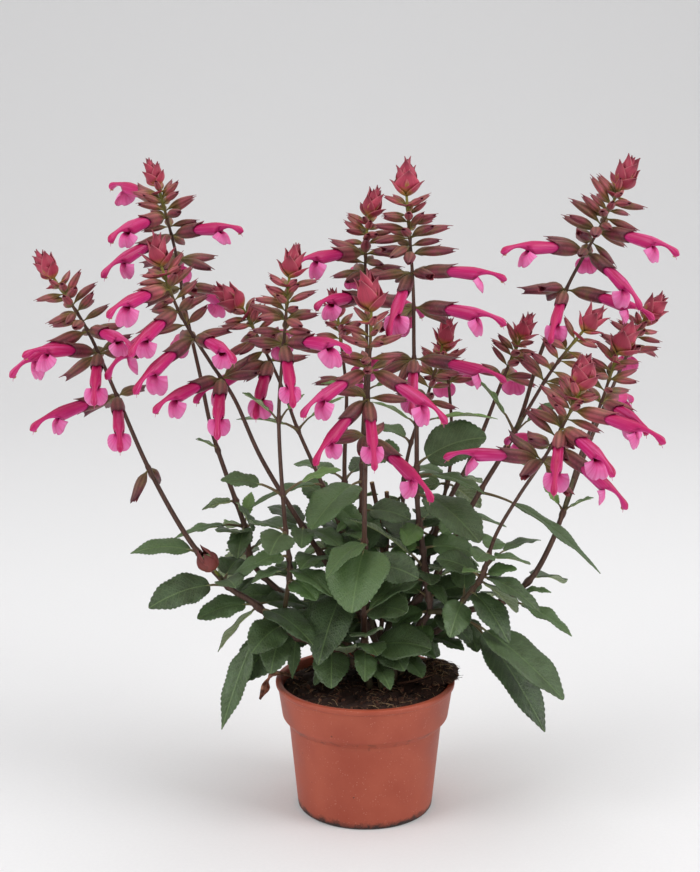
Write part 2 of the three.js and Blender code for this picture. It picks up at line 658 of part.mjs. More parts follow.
for (const name of spikeNames) {
  const spike = spikes[name];
  spike.flowers.forEach(([ring, heading, rise], i) => {
    const size = lerp(...FLOWER_SIZE, chance(Number(name) * 100 + i));
    const base = belowTop(runs[name].fine, spike.whorls[ring][0]);
    const planned = { base, heading, rise, bend: FLOWER.bend, length: FLOWER.reach * size, size };
    const organ = place('spike ' + name, planned, flowerBalls);
    if (!organ) throw new Error('No clear place for flower ' + i + ' of spike ' + name);
    const face = freeFace(facePhase(spike, ring), facesOf(name, ring), organ.heading);
    organs.push({ name, ring, face, open: true, ...organ });
  });
}

// A place on a leaf's arched rib, with the directions across the blade and out of its upper face.
function leafFrame(leaf, share) {
  const { base, tip } = leaf;
  const span = tip.clone().sub(base);
  const level = vector(span.x, span.y, 0).normalize();
  const middle = base.clone().addScaledVector(span, LEAF.arch_at)
    .add(vector(0, 0, LEAF.arch * span.length()));
  const near = base.clone().lerp(middle, share);
  const far = middle.clone().lerp(tip, share);
  const point = near.clone().lerp(far, share);
  const forward = far.sub(near).normalize();
  const flat = vector(-level.y, level.x, 0);
  const normal = forward.clone().cross(flat);
  const roll = radians(leaf.roll);
  const side = flat.clone().multiplyScalar(Math.cos(roll)).addScaledVector(normal, -Math.sin(roll));
  const face = normal.clone().multiplyScalar(Math.cos(roll)).addScaledVector(flat, Math.sin(roll));
  return { point, side, face };
}

function halfWidth(leaf, share) {
  const blade = Math.min(1, Math.max(0, (share - leaf.stalk) / (1 - leaf.stalk)));
  return 0.5 * leaf.width * Math.sin(Math.PI * blade ** LEAF.widest_near) ** LEAF.bluntness;
}

function leafBalls(leaf) {
  const rows = Math.max(3, Math.round(leaf.length / LEAF_BALLS.spacing));
  const balls = [];
  for (let i = 1; i <= rows; i += 1) {
    const share = i / (rows + 0.4);
    const { point, side } = leafFrame(leaf, share);
    const half = halfWidth(leaf, share);
    const columns = Math.floor(half / LEAF_BALLS.aside);
    const r = half > 2 ? LEAF_BALLS.wide : LEAF_BALLS.narrow;
    for (let k = -columns; k <= columns; k += 1) {
      const at = point.clone().addScaledVector(side, (k / (columns + 0.55)) * half);
      balls.push({ at, r, near: share * leaf.length < LEAF_ROOT_ZONE });
    }
  }
  return balls;
}

function withTip(leaf) {
  const rise = radians(leaf.rise);
  const heading = radians(leaf.heading);
  const out = vector(Math.cos(heading), Math.sin(heading), 0).multiplyScalar(Math.cos(rise));
  out.z = Math.sin(rise);
  return { ...leaf, tip: leaf.base.clone().addScaledVector(out, leaf.length) };
}

const grownLeaves = [];
for (const stem of leafyNames) {
  const { plant } = spikes[stem];
  leaves[stem].forEach(([height, tip, width, roll, stalk], i) => {
    const base = atHeight(runs[stem].fine, height).point;
    const span = vector(...tip).sub(base);
    const length = span.length();
    const heading = THREE.MathUtils.radToDeg(Math.atan2(span.y, span.x));
    const rise = THREE.MathUtils.radToDeg(Math.asin(span.z / length));
    const planned = { base, heading, rise, width, roll, stalk, length };
    const leaf = place('plant ' + plant, planned, (moved) => leafBalls(withTip(moved)));
    if (!leaf) throw new Error('No clear place for leaf ' + i + ' of stem ' + stem);
    grownLeaves.push({ plant, ...withTip(leaf) });
  });
}

// How far the stem leans towards a heading at a ring, in degrees.
function stemTilt(name, distance, heading) {
  const { fine } = runs[name];
  const way = belowTop(fine, Math.max(0, distance - 4)).sub(belowTop(fine, distance + 4)).normalize();
  const towards = way.x * Math.cos(radians(heading)) + way.y * Math.sin(radians(heading));
  return THREE.MathUtils.radToDeg(Math.asin(towards));
}

// Calyces without a flower stand on the other faces of each ring.
for (const name of spikeNames) {
  const spike = spikes[name];
  spike.whorls.forEach(([distance, count], ring) => {
    const base = belowTop(runs[name].fine, distance);
    const phase = facePhase(spike, ring);
    const used = facesOf(name, ring);
    const free = [0, 3, 1, 4, 2, 5].filter((face) => !used.includes(face));
    for (const face of free.slice(0, count - used.length)) {
      const seed = Number(name) * 1000 + ring * 10 + face;
      const ripe = Math.min(1, CALYX_SIZE.youngest + CALYX_SIZE.growth * ring);
      const size = ripe * lerp(...CALYX_SIZE.spread, chance(seed + 500));
      const heading = phase + 60 * (face + 1) + HEADING_SPREAD * (chance(seed) - 0.5);
      const level = CALYX_RISE.youngest - CALYX_RISE.fall * ring;
      const strayed = CALYX_RISE.spread * (chance(seed + 900) - 0.5);
      const rise = level + strayed - stemTilt(name, distance, heading);
      const planned = { base, heading, rise, bend: CALYX.bend, length: CALYX.reach * size, size };
      const organ = place('spike ' + name, planned, calyxBalls);
      if (organ) organs.push({ name, ring, face, open: false, ...organ });
    }
  });
}

// The lower lip spreads below the underside of the throat.
function growLip(shell, root, organ) {
  const { size } = organ;
  const { throat, hang } = lipFrame(organ);
  const front = throat.across.clone().cross(hang).normalize();
  const section = (distance, halfWidth) => shell.ring(fourCorners(
    throat.point.clone().addScaledVector(hang, distance * size),
    throat.across,
    front,
    halfWidth * size,
    LIP.half_thickness,
  ));
  const broad = section(LIP.broad_at, LIP.half_width);
  const end = section(LIP.end_at, LIP.end_half_width);
  shell.band(root, broad);
  shell.band(broad, end);
  shell.flat(end);
}

// A calyx is raised from a face of the stem, and an open flower goes on out of its mouth.
function growOrgan(shell, root, organ) {
  const { size } = organ;
  const section = (distance, halfWidth, halfHeight, raise) => (
    shell.ring(organSection(organ, distance * size, halfWidth * size, halfHeight * size, raise)));
  const bell = section(CALYX.bell_at, CALYX.half_width, CALYX.half_height);
  shell.band(root, bell);
  if (!organ.open) {
    const end = onArc(organ, CALYX.reach * size);
    shell.point(bell, end.point.addScaledVector(end.over, CALYX.tip_raise * size));
    return;
  }
  const neck = section(CALYX.reach, FLOWER.neck_half_width, FLOWER.neck_half_height);
  const swelling = section(FLOWER.swelling, FLOWER.half_width, FLOWER.half_height);
  const raise = FLOWER.throat_raise * size;
  const throat = section(FLOWER.throat, FLOWER.half_width, FLOWER.half_height, raise);
  shell.band(bell, neck);
  shell.band(neck, swelling);
  shell.band(swelling, throat, [0]);
  const hood = onArc(organ, FLOWER.reach * size);
  shell.point(throat, hood.point.addScaledVector(hood.over, FLOWER.hood_raise * size));
  growLip(shell, [swelling[0], swelling[1], throat[1], throat[0]], organ);
}

// The spike's stem has a belt of six faces at each ring of calyces.
function spikeStations(name) {
  const { upper } = runs[name];
  const { whorls } = spikes[name];
  let left = upper.slice(1).reduce((sum, point, i) => sum + point.distanceTo(upper[i]), 0) - CLEARANCE;
  const stations = [{ distance: left }];
  const addTo = (distance) => {
    const extra = Math.ceil((left - distance) / LONGEST_STEP) - 1;
    for (let i = 1; i <= extra; i += 1) {
      stations.push({ distance: left - ((left - distance) * i) / (extra + 1) });
    }
    left = distance;
  };
  for (let ring = whorls.length - 1; ring >= 0; ring -= 1) {
    const [distance] = whorls[ring];
    addTo(distance + BELT / 2);
    stations.push({ distance: distance + BELT / 2, ring }, { distance: distance - BELT / 2, ring });
    left = distance - BELT / 2;
  }
  addTo(0);
  return stations;
}

// The closed cone of bracts at a spike's top: pointed bracts are raised from its faces.
function growCone(shell, stemTop, name) {
  const { base, lean } = runs[name];
  const { bud } = spikes[name];
  const shape = bud ? BUD : CONE;
  const across = vector(0, 1, 0).cross(lean).normalize();
  const over = lean.clone().cross(across);
  const at = (distance, turn, radius) => base.clone()
    .addScaledVector(lean, distance)
    .addScaledVector(across, radius * Math.cos(turn))
    .addScaledVector(over, radius * Math.sin(turn));
  const ringOf = ([distance, radius]) => shell.ring([0, 1, 2, 3, 4, 5].map((k) => (
    at(distance, ((k + 0.5) / 6) * 2 * Math.PI, radius))));
  const rings = [stemTop, ...shape.rings.map(ringOf)];
  shape.bracts.forEach(([faces, distance, radius], i) => {
    shell.band(rings[i], rings[i + 1], faces);
    for (const k of faces) {
      const next = (k + 1) % 6;
      const root = [rings[i][k], rings[i][next], rings[i + 1][next], rings[i + 1][k]];
      shell.point(root, at(distance, ((k + 1) / 6) * 2 * Math.PI, radius));
    }
  });
  shell.point(rings[rings.length - 1], at(shape.length, 0, 0));
}

function flowerSpike(name) {
  const { fine, middle } = runs[name];
  const spike = spikes[name];
  const shell = new Shell();
  const stations = spikeStations(name);
  const longest = stations[0].distance;
  let phase = facePhase(spike, spike.whorls.length - 1);
  const rings = stations.map(({ distance, ring }) => {
    const point = belowTop(fine, distance);
    const ahead = belowTop(fine, Math.max(0, distance - 2));
    const behind = belowTop(fine, distance + 2);
    const { across, over } = crossSection([behind, point, ahead], 1);
    if (ring !== undefined) phase = facePhase(spike, ring);
    const radius = lerp(STEM_RADIUS.top, middle, distance / longest);
    return shell.ring(ringAt(point, across, over, radius, radius, 6, radians(phase)));
  });
  shell.flat([...rings[0]].reverse());
  for (let i = 0; i + 1 < rings.length; i += 1) {
    const { ring } = stations[i];
    const belt = ring !== undefined && ring === stations[i + 1].ring;
    const here = belt ? organs.filter((organ) => organ.name === name && organ.ring === ring) : [];
    shell.band(rings[i], rings[i + 1], here.map((organ) => organ.face));
    for (const organ of here) {
      const k = organ.face;
      const next = (k + 1) % 6;
      growOrgan(shell, [rings[i][k], rings[i][next], rings[i + 1][next], rings[i + 1][k]], organ);
    }
  }
  growCone(shell, rings[rings.length - 1], name);
  return solid(shell.geometry());
}

// A leaf in one piece with its stalk: a rib above and below, and an edge cut into teeth.
function leafSolid(leaf) {
  const toothed = leaf.width > LEAF.narrow;
  let rowCount = toothed ? 3 : 2;
  if (leaf.width > LEAF.broad) rowCount = 4;
  const shares = leaf.stalk > LEAF.short_stalk ? [0, leaf.stalk] : [0];
  for (let i = 1; i <= rowCount; i += 1) shares.push(lerp(leaf.stalk, 1, i / (rowCount + 0.75)));
  const shell = new Shell();
  const edge = (share, sign, cut) => {
    const { point, side, face } = leafFrame(leaf, share);
    const half = Math.max(halfWidth(leaf, share), LEAF.stalk_radius);
    const fold = share > leaf.stalk ? LEAF.fold * half : 0;
    return point.addScaledVector(side, sign * half * cut).addScaledVector(face, fold);
  };
  const rib = (share, sign) => {
    const { point, face } = leafFrame(leaf, share);
    const thick = share > leaf.stalk ? LEAF.half_thickness : LEAF.stalk_radius;
    return point.addScaledVector(face, sign * thick);
  };
  const rings = shares.map((share) => (
    shell.ring([rib(share, 1), edge(share, -1, 1), rib(share, -1), edge(share, 1, 1)])));
  shell.flat([...rings[0]].reverse());
  for (let i = 0; i + 1 < rings.length; i += 1) {
    const [top, left, under, right] = rings[i];
    const [nextTop, nextLeft, nextUnder, nextRight] = rings[i + 1];
    if (!toothed || shares[i] <= leaf.stalk) {
      shell.triangles.push([top, left, nextLeft], [top, nextLeft, nextTop]);
      shell.triangles.push([left, under, nextLeft], [under, nextUnder, nextLeft]);
      shell.triangles.push([under, right, nextRight], [under, nextRight, nextUnder]);
      shell.triangles.push([right, top, nextRight], [top, nextTop, nextRight]);
      continue;
    }
    const middle = (shares[i] + shares[i + 1]) / 2;
    const [l, r] = shell.ring([edge(middle, -1, LEAF.tooth), edge(middle, 1, LEAF.tooth)]);
    shell.triangles.push([top, left, l], [top, l, nextTop], [nextTop, l, nextLeft]);
    shell.triangles.push([under, l, left], [under, nextUnder, l], [nextUnder, nextLeft, l]);
    shell.triangles.push([top, r, right], [top, nextTop, r], [nextTop, nextRight, r]);
    shell.triangles.push([under, right, r], [under, r, nextUnder], [nextUnder, r, nextRight]);
  }
  shell.point(rings[rings.length - 1], leaf.tip.clone());
  return shell.geometry();
}

function leafyStem(plant) {
  const pieces = [];
  for (const name of spikeNames.filter((each) => spikes[each].plant === plant)) {
    const { lower, foot, middle } = runs[name];
    pieces.push(loft(squareRings(sparse(lower, STEM_STEP), foot, middle)));
  }
  for (const [owner, path] of stubs) {
    if (owner === plant) pieces.push(loft(squareRings(along(path, STUB_SPACING), STUB_RADIUS, STUB_RADIUS)));
  }
  for (const leaf of grownLeaves) {
    if (leaf.plant === plant) pieces.push(leafSolid(leaf));
  }
  return pieces.map(solid).reduce((sum, next) => sum.add(next));
}

// The pot's inside radius at a height, below the rounded rim.
function insideRadius(z) {
  const shoulder = COLLAR_BOTTOM - COLLAR_UNDERCUT;
  if (z < shoulder) return lerp(BASE_RADIUS, BODY_TOP_RADIUS, z / shoulder) - WALL;
  const rise = Math.min(1, (z - shoulder) / (COLLAR_BOTTOM + WALL - shoulder));
  if (rise < 1) return lerp(BODY_TOP_RADIUS, COLLAR_RADIUS, rise) - WALL;
  const share = (z - COLLAR_BOTTOM - WALL) / (POT_HEIGHT - ROUNDING - COLLAR_BOTTOM - WALL);
  return lerp(COLLAR_RADIUS - WALL, RIM_RADIUS - LIP_WIDTH, share);
}

function pot() {
  const shoulder = COLLAR_BOTTOM - COLLAR_UNDERCUT;
  const underLip = POT_HEIGHT - LIP_HEIGHT;
  const collarInside = COLLAR_BOTTOM + WALL;
  const profile = [
    [0, 0], [BASE_RADIUS, 0], [BODY_TOP_RADIUS, shoulder],
    [COLLAR_RADIUS, COLLAR_BOTTOM], [RIM_RADIUS - 2 * ROUNDING, underLip],
    [RIM_RADIUS, underLip + ROUNDING], [RIM_RADIUS, POT_HEIGHT - ROUNDING],
    [RIM_RADIUS - ROUNDING, POT_HEIGHT],
    [RIM_RADIUS - LIP_WIDTH + ROUNDING, POT_HEIGHT], [RIM_RADIUS - LIP_WIDTH, POT_HEIGHT - ROUNDING],
    [insideRadius(collarInside), collarInside], [insideRadius(shoulder), shoulder],
    [insideRadius(WALL), WALL], [0, WALL],
  ].map(([r, z]) => new THREE.Vector2(r, z));
  const shell = new THREE.LatheGeometry(profile, POT_SIDES).rotateX(Math.PI / 2);
  let shape = solid(shell);
  for (let k = 0; k < DRAIN_HOLES; k += 1) {
    const turn = ((k + 0.5) / DRAIN_HOLES) * 2 * Math.PI;
    const drill = new THREE.CylinderGeometry(DRAIN_HOLE_RADIUS, DRAIN_HOLE_RADIUS, WALL * 3, 6)
      .rotateX(Math.PI / 2)
      .translate(DRAIN_CIRCLE * Math.cos(turn), DRAIN_CIRCLE * Math.sin(turn), WALL / 2);
    shape = shape.subtract(solid(drill));
  }
  return shape;
}

// A level ring of corners round a place.
function levelRing(x, y, z, radius, sides) {
  return ringAt(vector(x, y, z), vector(1, 0, 0), vector(0, 1, 0), radius, radius, sides);
}

// Compost that fills the pot, with a plain hole for each stem, and a crumbly heap over the rim.
function compost() {
  const shoulder = COLLAR_BOTTOM - COLLAR_UNDERCUT;
  const sides = [WALL + COMPOST.clearance, shoulder, COLLAR_BOTTOM + WALL, COMPOST.edge].map((z) => (
    levelRing(0, 0, z, insideRadius(z) - COMPOST.clearance, COMPOST.sides)));
  const rimInside = insideRadius(COMPOST.top) - COMPOST.clearance;
  const rings = COMPOST.ring_shares.map((share) => {
    const ring = levelRing(0, 0, 0, rimInside * share, COMPOST.sides);
    for (const corner of ring) corner.z = compostHeight(corner.x, corner.y);
    return ring;
  });
  let shape = solid(loft([...sides, ...rings])).add(solid(heap()));
  for (const name of spikeNames.filter((each) => !spikes[each].branch)) {
    const { lower, foot, middle } = runs[name];
    const wide = COMPOST.clearance;
    const hole = squareRings(sparse(lower, STEM_STEP), foot + wide, middle + wide).slice(0, 3);
    const bottom = hole[0].map((corner) => corner.clone().add(vector(0, 0, -wide)));
    shape = shape.subtract(solid(loft([bottom, ...hole])));
  }
  return shape;
}

// The heap lies flat on the rim's height, so that it clears the lip, and grows out of the compost.
function heap() {
  const [x, y] = HEAP.at;
  const floor = POT_HEIGHT + CLEARANCE;
  return loft(HEAP.rings.map(([radius, lift], i) => {
    const ring = levelRing(x, y, floor + lift, radius, HEAP.sides);
    ring.forEach((corner, k) => {
      const rough = 1 + HEAP.rough * (chance(700 + i * HEAP.sides + k) - 0.5);
      corner.x = x + (corner.x - x) * rough;
      corner.y = y + (corner.y - y) * rough * HEAP.stretch;
      if (i > 0) corner.z += HEAP.bumps * (chance(900 + i * HEAP.sides + k) - 0.5);
    });
    return ring;
  }));
}

// A dead leaf that lies on the compost and hangs over the rim.
function witheredLeaf() {
  const resting = POT_HEIGHT + CLEARANCE + WITHERED.half_thickness;
  const route = [
    [-51, 7, compostHeight(-51, 7) + 1.6], [-60, 4, resting], [-66.5, 1.5, resting],
    [-70.5, -1, 92.5], [-71.5, -2, 87.5], [-76, -3, 81.5],
  ];
  const run = along(route, 5);
  return solid(loft(run.map((point, i) => {
    const { across, over } = hangingSection(run, i);
    const share = i / (run.length - 1);
    const bulge = Math.sin(Math.PI * Math.min(1, 0.08 + 0.9 * share));
    const half = 1 + WITHERED.half_width * bulge * (0.75 + 0.4 * chance(40 + i));
    return ringAt(point, across, over, half, WITHERED.half_thickness * Math.SQRT2, 4);
  })));
}

// Directions across a run that heads to -X and then down.
function hangingSection(run, i) {
  const ahead = run[Math.min(i + 1, run.length - 1)];
  const behind = run[Math.max(i - 1, 0)];
  const direction = ahead.clone().sub(behind).normalize();
  const across = vector(0, 1, 0).addScaledVector(direction, -direction.y).normalize();
  return { across, over: direction.clone().cross(across) };
}

const sage = new THREE.Group();
sage.add(mesh('pot', pot(), potMaterial));
sage.add(mesh('compost', compost(), compostMaterial));
sage.add(mesh('withered_leaf', witheredLeaf(), witheredMaterial));
for (const plant of plants) {
  sage.add(mesh('leafy_stem_' + plant, leafyStem(plant), foliageMaterial));
}
for (const name of spikeNames) {
  const kind = spikes[name].bud ? 'closed_bud_' : 'flower_spike_';
  sage.add(mesh(kind + name, flowerSpike(name), flowerMaterial));
}

export default sage;
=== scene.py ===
"""Potted ornamental sage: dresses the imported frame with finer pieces, materials and a plain stage.

Every spike, leaf and flower stands where the frame's plan puts it. The plan, and the rule that
gives each organ a clear place, are repeated here in millimetres, and each piece replaces its node.
"""

import functools
import math

import bpy
import mathutils
import numpy as np
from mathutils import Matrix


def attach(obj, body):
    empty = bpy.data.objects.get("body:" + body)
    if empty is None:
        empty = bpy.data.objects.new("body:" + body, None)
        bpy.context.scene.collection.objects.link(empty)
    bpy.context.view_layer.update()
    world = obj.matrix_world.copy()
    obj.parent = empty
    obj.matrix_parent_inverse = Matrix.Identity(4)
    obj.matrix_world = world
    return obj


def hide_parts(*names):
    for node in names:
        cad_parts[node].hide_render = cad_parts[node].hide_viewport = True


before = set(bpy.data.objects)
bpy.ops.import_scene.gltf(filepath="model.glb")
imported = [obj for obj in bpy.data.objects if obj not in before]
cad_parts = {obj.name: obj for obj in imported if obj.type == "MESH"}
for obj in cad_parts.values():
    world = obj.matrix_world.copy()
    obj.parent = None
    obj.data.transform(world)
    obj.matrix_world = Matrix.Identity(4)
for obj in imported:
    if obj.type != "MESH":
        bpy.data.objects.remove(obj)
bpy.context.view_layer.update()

bl_info = {
    "name": "Potted ornamental sage",
    "version": (1, 0, 0),
    "blender": (4, 5, 0),
    "location": "3D Viewport > Sidebar > Sage",
    "description": "Builds a flowering sage in a plastic nursery pot, and its stage",
    "category": "Object",
}

MM = 0.001

# The frame's sizes that the plan is drawn with, in millimetres
POT_BODY_TOP = 55.3
POT_COLLAR = {"radius": 60, "bottom": 68.6, "undercut": 5.2}
POT_SHOULDER = POT_COLLAR["bottom"] - POT_COLLAR["undercut"]
POT_LIP = {"height": 4.4, "width": 4.6, "rounding": 1.2}
DRAINS = {"count": 8, "radius": 4, "circle": 38}
CLEARANCE = 0.3
COMPOST = {"top": 90, "edge": 86, "relief": 1.3, "clearance": 0.5}
COMPOST_HEAP = {"at": (52, 8), "reach": 34, "height": 8}
HEAP = {"at": (49, 6), "stretch": 1.35, "rings": [[17, 0], [18.5, 2.6], [14, 5.2], [5, 6.6]]}
STEM_RADIUS = {"foot": 3.1, "top": 1.15, "twig": 1.6}
MIDDLE_SHARE = 0.62
BRANCH_SHARE = 0.72
STUB_RADIUS = 2.1
FINE_STEP = 4
CALYX = {"reach": 33, "bend": 8}
FLOWER = {"reach": 69, "bend": 13, "lip_at": 47}
LIP_LEAN = 0.44
FLOWER_SIZE = (0.94, 1.04)
CALYX_SIZE = {"youngest": 0.5, "growth": 0.13}
CALYX_RISE = {"youngest": 24, "fall": 9}
LEAF = {"fold": 0.16, "arch": 0.2, "arch_at": 0.45, "widest_near": 0.78, "bluntness": 0.85}

# How organs keep clear of each other: room between them, the lengths within which organs of one
# stem may meet, and the turns and lifts in degrees that an organ may make
SPACING = 0.5
ROOT_ZONE = 16
LEAF_ROOT_ZONE = 18
TURNS = (0, 10, -10, 20, -20, 32, -32, 46, -46)
LIFTS = (0, 12, -12, 24, -24)
LIFT_COST = 1.2
NEIGHBOURHOOD = 32

# The balls that stand for an organ: distance along it and radius, and for the lower lip the
# distance down, the distance aside and the radius
RING_CALYX = {
    "heading": 20, "rise": 20, "size": (0.88, 1.06),
    "balls": [[7, 2.6], [12, 3.5], [17, 4.4], [22, 5.1], [27, 4], [31, 2.2]],
}
FLOWER_BALLS = [
    *RING_CALYX["balls"][:5], [33, 3], [38, 3.9], [43, 4.9], [49, 5.2], [54, 4.4], [60, 3.1],
    [66, 1.8],
]
LIP_BALLS = [[7, 0, 4], [11, 5, 3.4], [11, -5, 3.4], [15, 0, 3.6]]
CONE_BALLS = [[5, 5.5], [12, 7.5], [19, 7], [26, 4]]
BUD_BALLS = [[8, 9]]
LEAF_BALLS = {"spacing": 6.5, "aside": 5.5, "wide": 2.9, "narrow": 1.5}

# How the finer pieces are drawn, in millimetres
STEM_SIDES = 16
STEM_FLATNESS = 0.14
STEM_RING_STEP = 2.4
NODE_SWELLING = (0.55, 1.8)
RING_SWELLING = (0.45, 1.6)
WIDE_LEAF = 16
BLADE = {"widest_near": 0.86, "broad": 0.54, "narrow": 0.85}
TOOTH = (0.1, 0.9, 1)
VEIN_SLANT = 0.75
VEIN_DEPTH = 0.28
MIDRIB_DEPTH = 0.5
RIB_REACH = 0.93
# Half the width and height of a calyx at some distances from the stem: in bud, and in flower
CALYX_AT = [0, 3, 4.5, 6.5, 9.5, 13.5, 18, 22, 26.5, 30.5, 34]
CALYX_IN_BUD = {
    "width": [0.6, 0.6, 0.95, 1.9, 3.2, 4.1, 4.2, 3.7, 2.6, 1.3, 0.35],
    "height": [0.65, 0.65, 0.9, 1.6, 2.6, 3.4, 3.6, 3.2, 2.4, 1.3, 0.45],
}
CALYX_IN_FLOWER = {
    "width": [0.65, 0.65, 1, 2, 3.5, 4.4, 4.8, 4.7, 4.3, 4.1, 3.9],
    "height": [0.7, 0.7, 1, 2.1, 3.8, 4.8, 5.2, 5.1, 4.7, 4.5, 4.4],
}
# Where its mouth is cut at turns from its underside to its top, in each of its states
CALYX_MOUTH = {
    "turns": [-90, -66, -40, -5, 30, 62, 90],
    "bud": [30.6, 31.8, 30, 28.4, 30, 32, 33.6],
    "spent": [28.5, 30.6, 28.6, 26.4, 28.4, 31, 33],
    "flower": [27.4, 29.8, 27.4, 25, 27, 30.6, 33.6],
}
# How far it is pinched from its foot to its mouth once its flower fell
PINCH = {"at": [10, 31], "width": [1, 0.62], "height": [0.82, 0.4]}
# The rows of a calyx or a flower's tube from its foot to its mouth, and back along its inner wall
BELL_ROWS = [0, 0.07, 0.16, 0.27, 0.39, 0.52, 0.65, 0.77, 0.88, 1]
INNER_ROWS = [-0.8, -3, -5]
YOUNG_CALYX_GAIN = 0.22
CALYX_STRAY = 18
SPENT_RING = 3.6
SPENT_STILL_OPEN = 0.1
# A bract's width at shares of its length, against its widest
BRACT = {"at": [0, 0.12, 0.34, 0.55, 0.74, 0.9, 1], "width": [0.42, 0.8, 1, 0.92, 0.6, 0.2, 0.03]}
BRACT_THICKNESS = 0.35
YOUNG_STEM = 38
POT_FOOT = {"width": 4.5, "recess": 1}
POT_RINGS = 128
# The radii of the pot's rounded corners, by their number from the foot's inside to the rim's
POT_ROUNDING = {1: 0.6, 2: 1.6, 3: 0.9, 4: 1.4, 5: 0.8, 6: 0.9, 7: 1.5, 8: 1.5}
SHARP_EDGE = 35
COMPOST_RINGS = {"sides": 132, "shares": 46}
HEAP_RINGS = (12, 44)

# Half the width and height of the flower's tube, and of its hood, whose end is thicker again
TUBE = {
    "at": [20, 26, 31, 36, 41, 45, 48, 52],
    "width": [2.8, 3.5, 3.7, 3.8, 4, 4, 3.6, 2.8],
    "height": [3.1, 3.9, 4.2, 4.5, 4.8, 4.9, 4.4, 3.3],
}
HOOD_ROWS = [43, 46, 49, 52, 54.5, 57, 59.5, 61.5, 63.5, 65.5, 67, 68.2, 69.1, 69.5]
HOOD = {
    "at": [43, 47, 51, 55, 59, 62, 65, 67.5, 69.4],
    "width": [3.5, 3.3, 2.4, 1.8, 1.75, 2.0, 2.35, 2.1, 0.6],
    "height": [3.7, 3.5, 2.4, 1.6, 1.45, 1.9, 2.6, 2.6, 0.8],
    "top": [5.2, 5.3, 5.1, 4.9, 4.8, 4.9, 5.0, 4.4, 2.6],
}
# The lower lip's outline: its reach from the throat at shares of its half angle, in degrees
LIP = {"half_angle": 82, "at": [0, 0.14, 0.4, 0.7, 1], "reach": [12.8, 14.4, 13.6, 10.6, 7.4]}

# The pairs of bracts at a spike's top: distance up the cone, slant from its line at four places,
# length, width and how far the edges curl in
CONE_TIERS = [
    [-7, [104, 88, 70, 90], 12, 14.5, 0.35],
    [-1, [76, 54, 36, 58], 18.5, 14, 0.5],
    [0.4, [62, 36, 14, 36], 21.5, 17.5, 0.6],
    [2, [54, 25, 5, 30], 22.5, 19, 0.7],
    [4, [42, 14, 0, 22], 22.5, 17, 0.8],
    [7.5, [28, 6, -2, 14], 19, 13, 0.95],
]
BUD_TIERS = [
    [0, [90, 40, -30, -30], 17, 16, 1],
    [0.5, [86, 36, -30, -34], 20, 17, 1],
    [1, [84, 33, -29, -34], 21.5, 17, 1],
    [1.6, [76, 27, -27, -26], 21.5, 14, 1],
    [2.4, [62, 18, -24, -6], 22, 9, 1],
]
# The width and the height of each spike's cone against the tiers above, as each stands in view
CONE_SCALES = {
    "01": (0.8, 0.82), "02": (0.75, 0.76), "03": (0.85, 0.9), "04": (1, 0.95), "05": (0.85, 0.85),
    "06": (0.85, 0.86), "07": (1.17, 0.97), "08": (1.05, 1.05), "09": (0.85, 0.85),
    "10": (0.8, 0.85), "11": (0.8, 0.8), "12": (0.95, 0.95), "13": (0.85, 0.85),
    "14": (1.2, 0.95), "15": (1.05, 0.95), "16": (0.95, 0.9), "17": (1.15, 1), "18": (0.8, 0.8),
}

# The small leaves that fill the bush: the lengths of stem that bear them, and their sizes
FILLING = {
    "low": 104, "high": 222, "step": 18, "length": (32, 54), "upper": 0.66, "width": 0.54,
    "reach": 105, "rise": (-38, 28), "facing": 32, "middle": 20,
}
# The buds that crowd between the rings near a spike's top
CROWDING = {"gap": 24, "reach": 34, "rise": 22}
CROWD_CALYX = {
    "heading": 24, "rise": 30, "size": (0.8, 1.08),
    "balls": [[9, 1.5], [15, 2.1], [21, 2.3], [27, 1.8]],
}

# The material slots of each kind of piece
LEAF_STEM, LEAF_UPPER, LEAF_UNDER, LEAF_STALK, LEAF_PITH = range(5)
SPIKE_STEM, CALYX_SKIN, CALYX_LINING, BRACT_SKIN, CONE_CORE = range(5)
PETAL, THROAT, LIP_PETAL, STAMEN = range(4)

# How much lies on the compost, and the dead stalk that lies from its middle to the heap
SCATTER = {"crumbs": 1150, "on_heap": 380, "thread": (4, 14), "thread_radius": (0.1, 0.2)}
CRUMB = np.array([[0.5, -0.85], [1, -0.1], [0.55, 0.8]])
CRUMB_SIZES = {"radius": [0.6, 0.9, 1.3, 1.9], "share": [0.35, 0.35, 0.2, 0.1]}
FALLEN_STALK = [[24, -12, 95], [33, -17, 98.5], [43, -14, 100.5], [52, -8, 101.5]]

# The dead leaf's points from where it hangs on the lip, and its thickness
DEAD_LEAF_FALL = [[-70.2, 0, 92.4], [-72.4, -2, 86.5], [-76.5, -3, 79.5]]
DEAD_LEAF_THICKNESS = 0.35

# The camera stands where the photograph's did, and the stage is a bowl round the pot
CAMERA = {"place": (-0.011, -1, 0.464), "pitch": 10.8, "lens": 59.86, "sensor": 36}
BOWL = {"floor": 1.75, "bend": 3.2, "top": 3.9}
# The soft lights: name, place, what each is aimed at, size and power
LIGHTS = (
    ("left", (-1.7, -0.9, 1.6), (0, 0, 0.22), 1.2, 22),
    ("right", (1.8, -0.7, 1.4), (0, 0, 0.22), 1.2, 27),
    ("above", (0.1, 0.2, 2.4), (0, 0, 0.22), 1.8, 17),
    ("backdrop", (0, 1.8, 2.7), (0, 5, 1.1), 1.4, 15),
)
SKY = {"Color": "#F6F5F4", "Strength": 0.62}

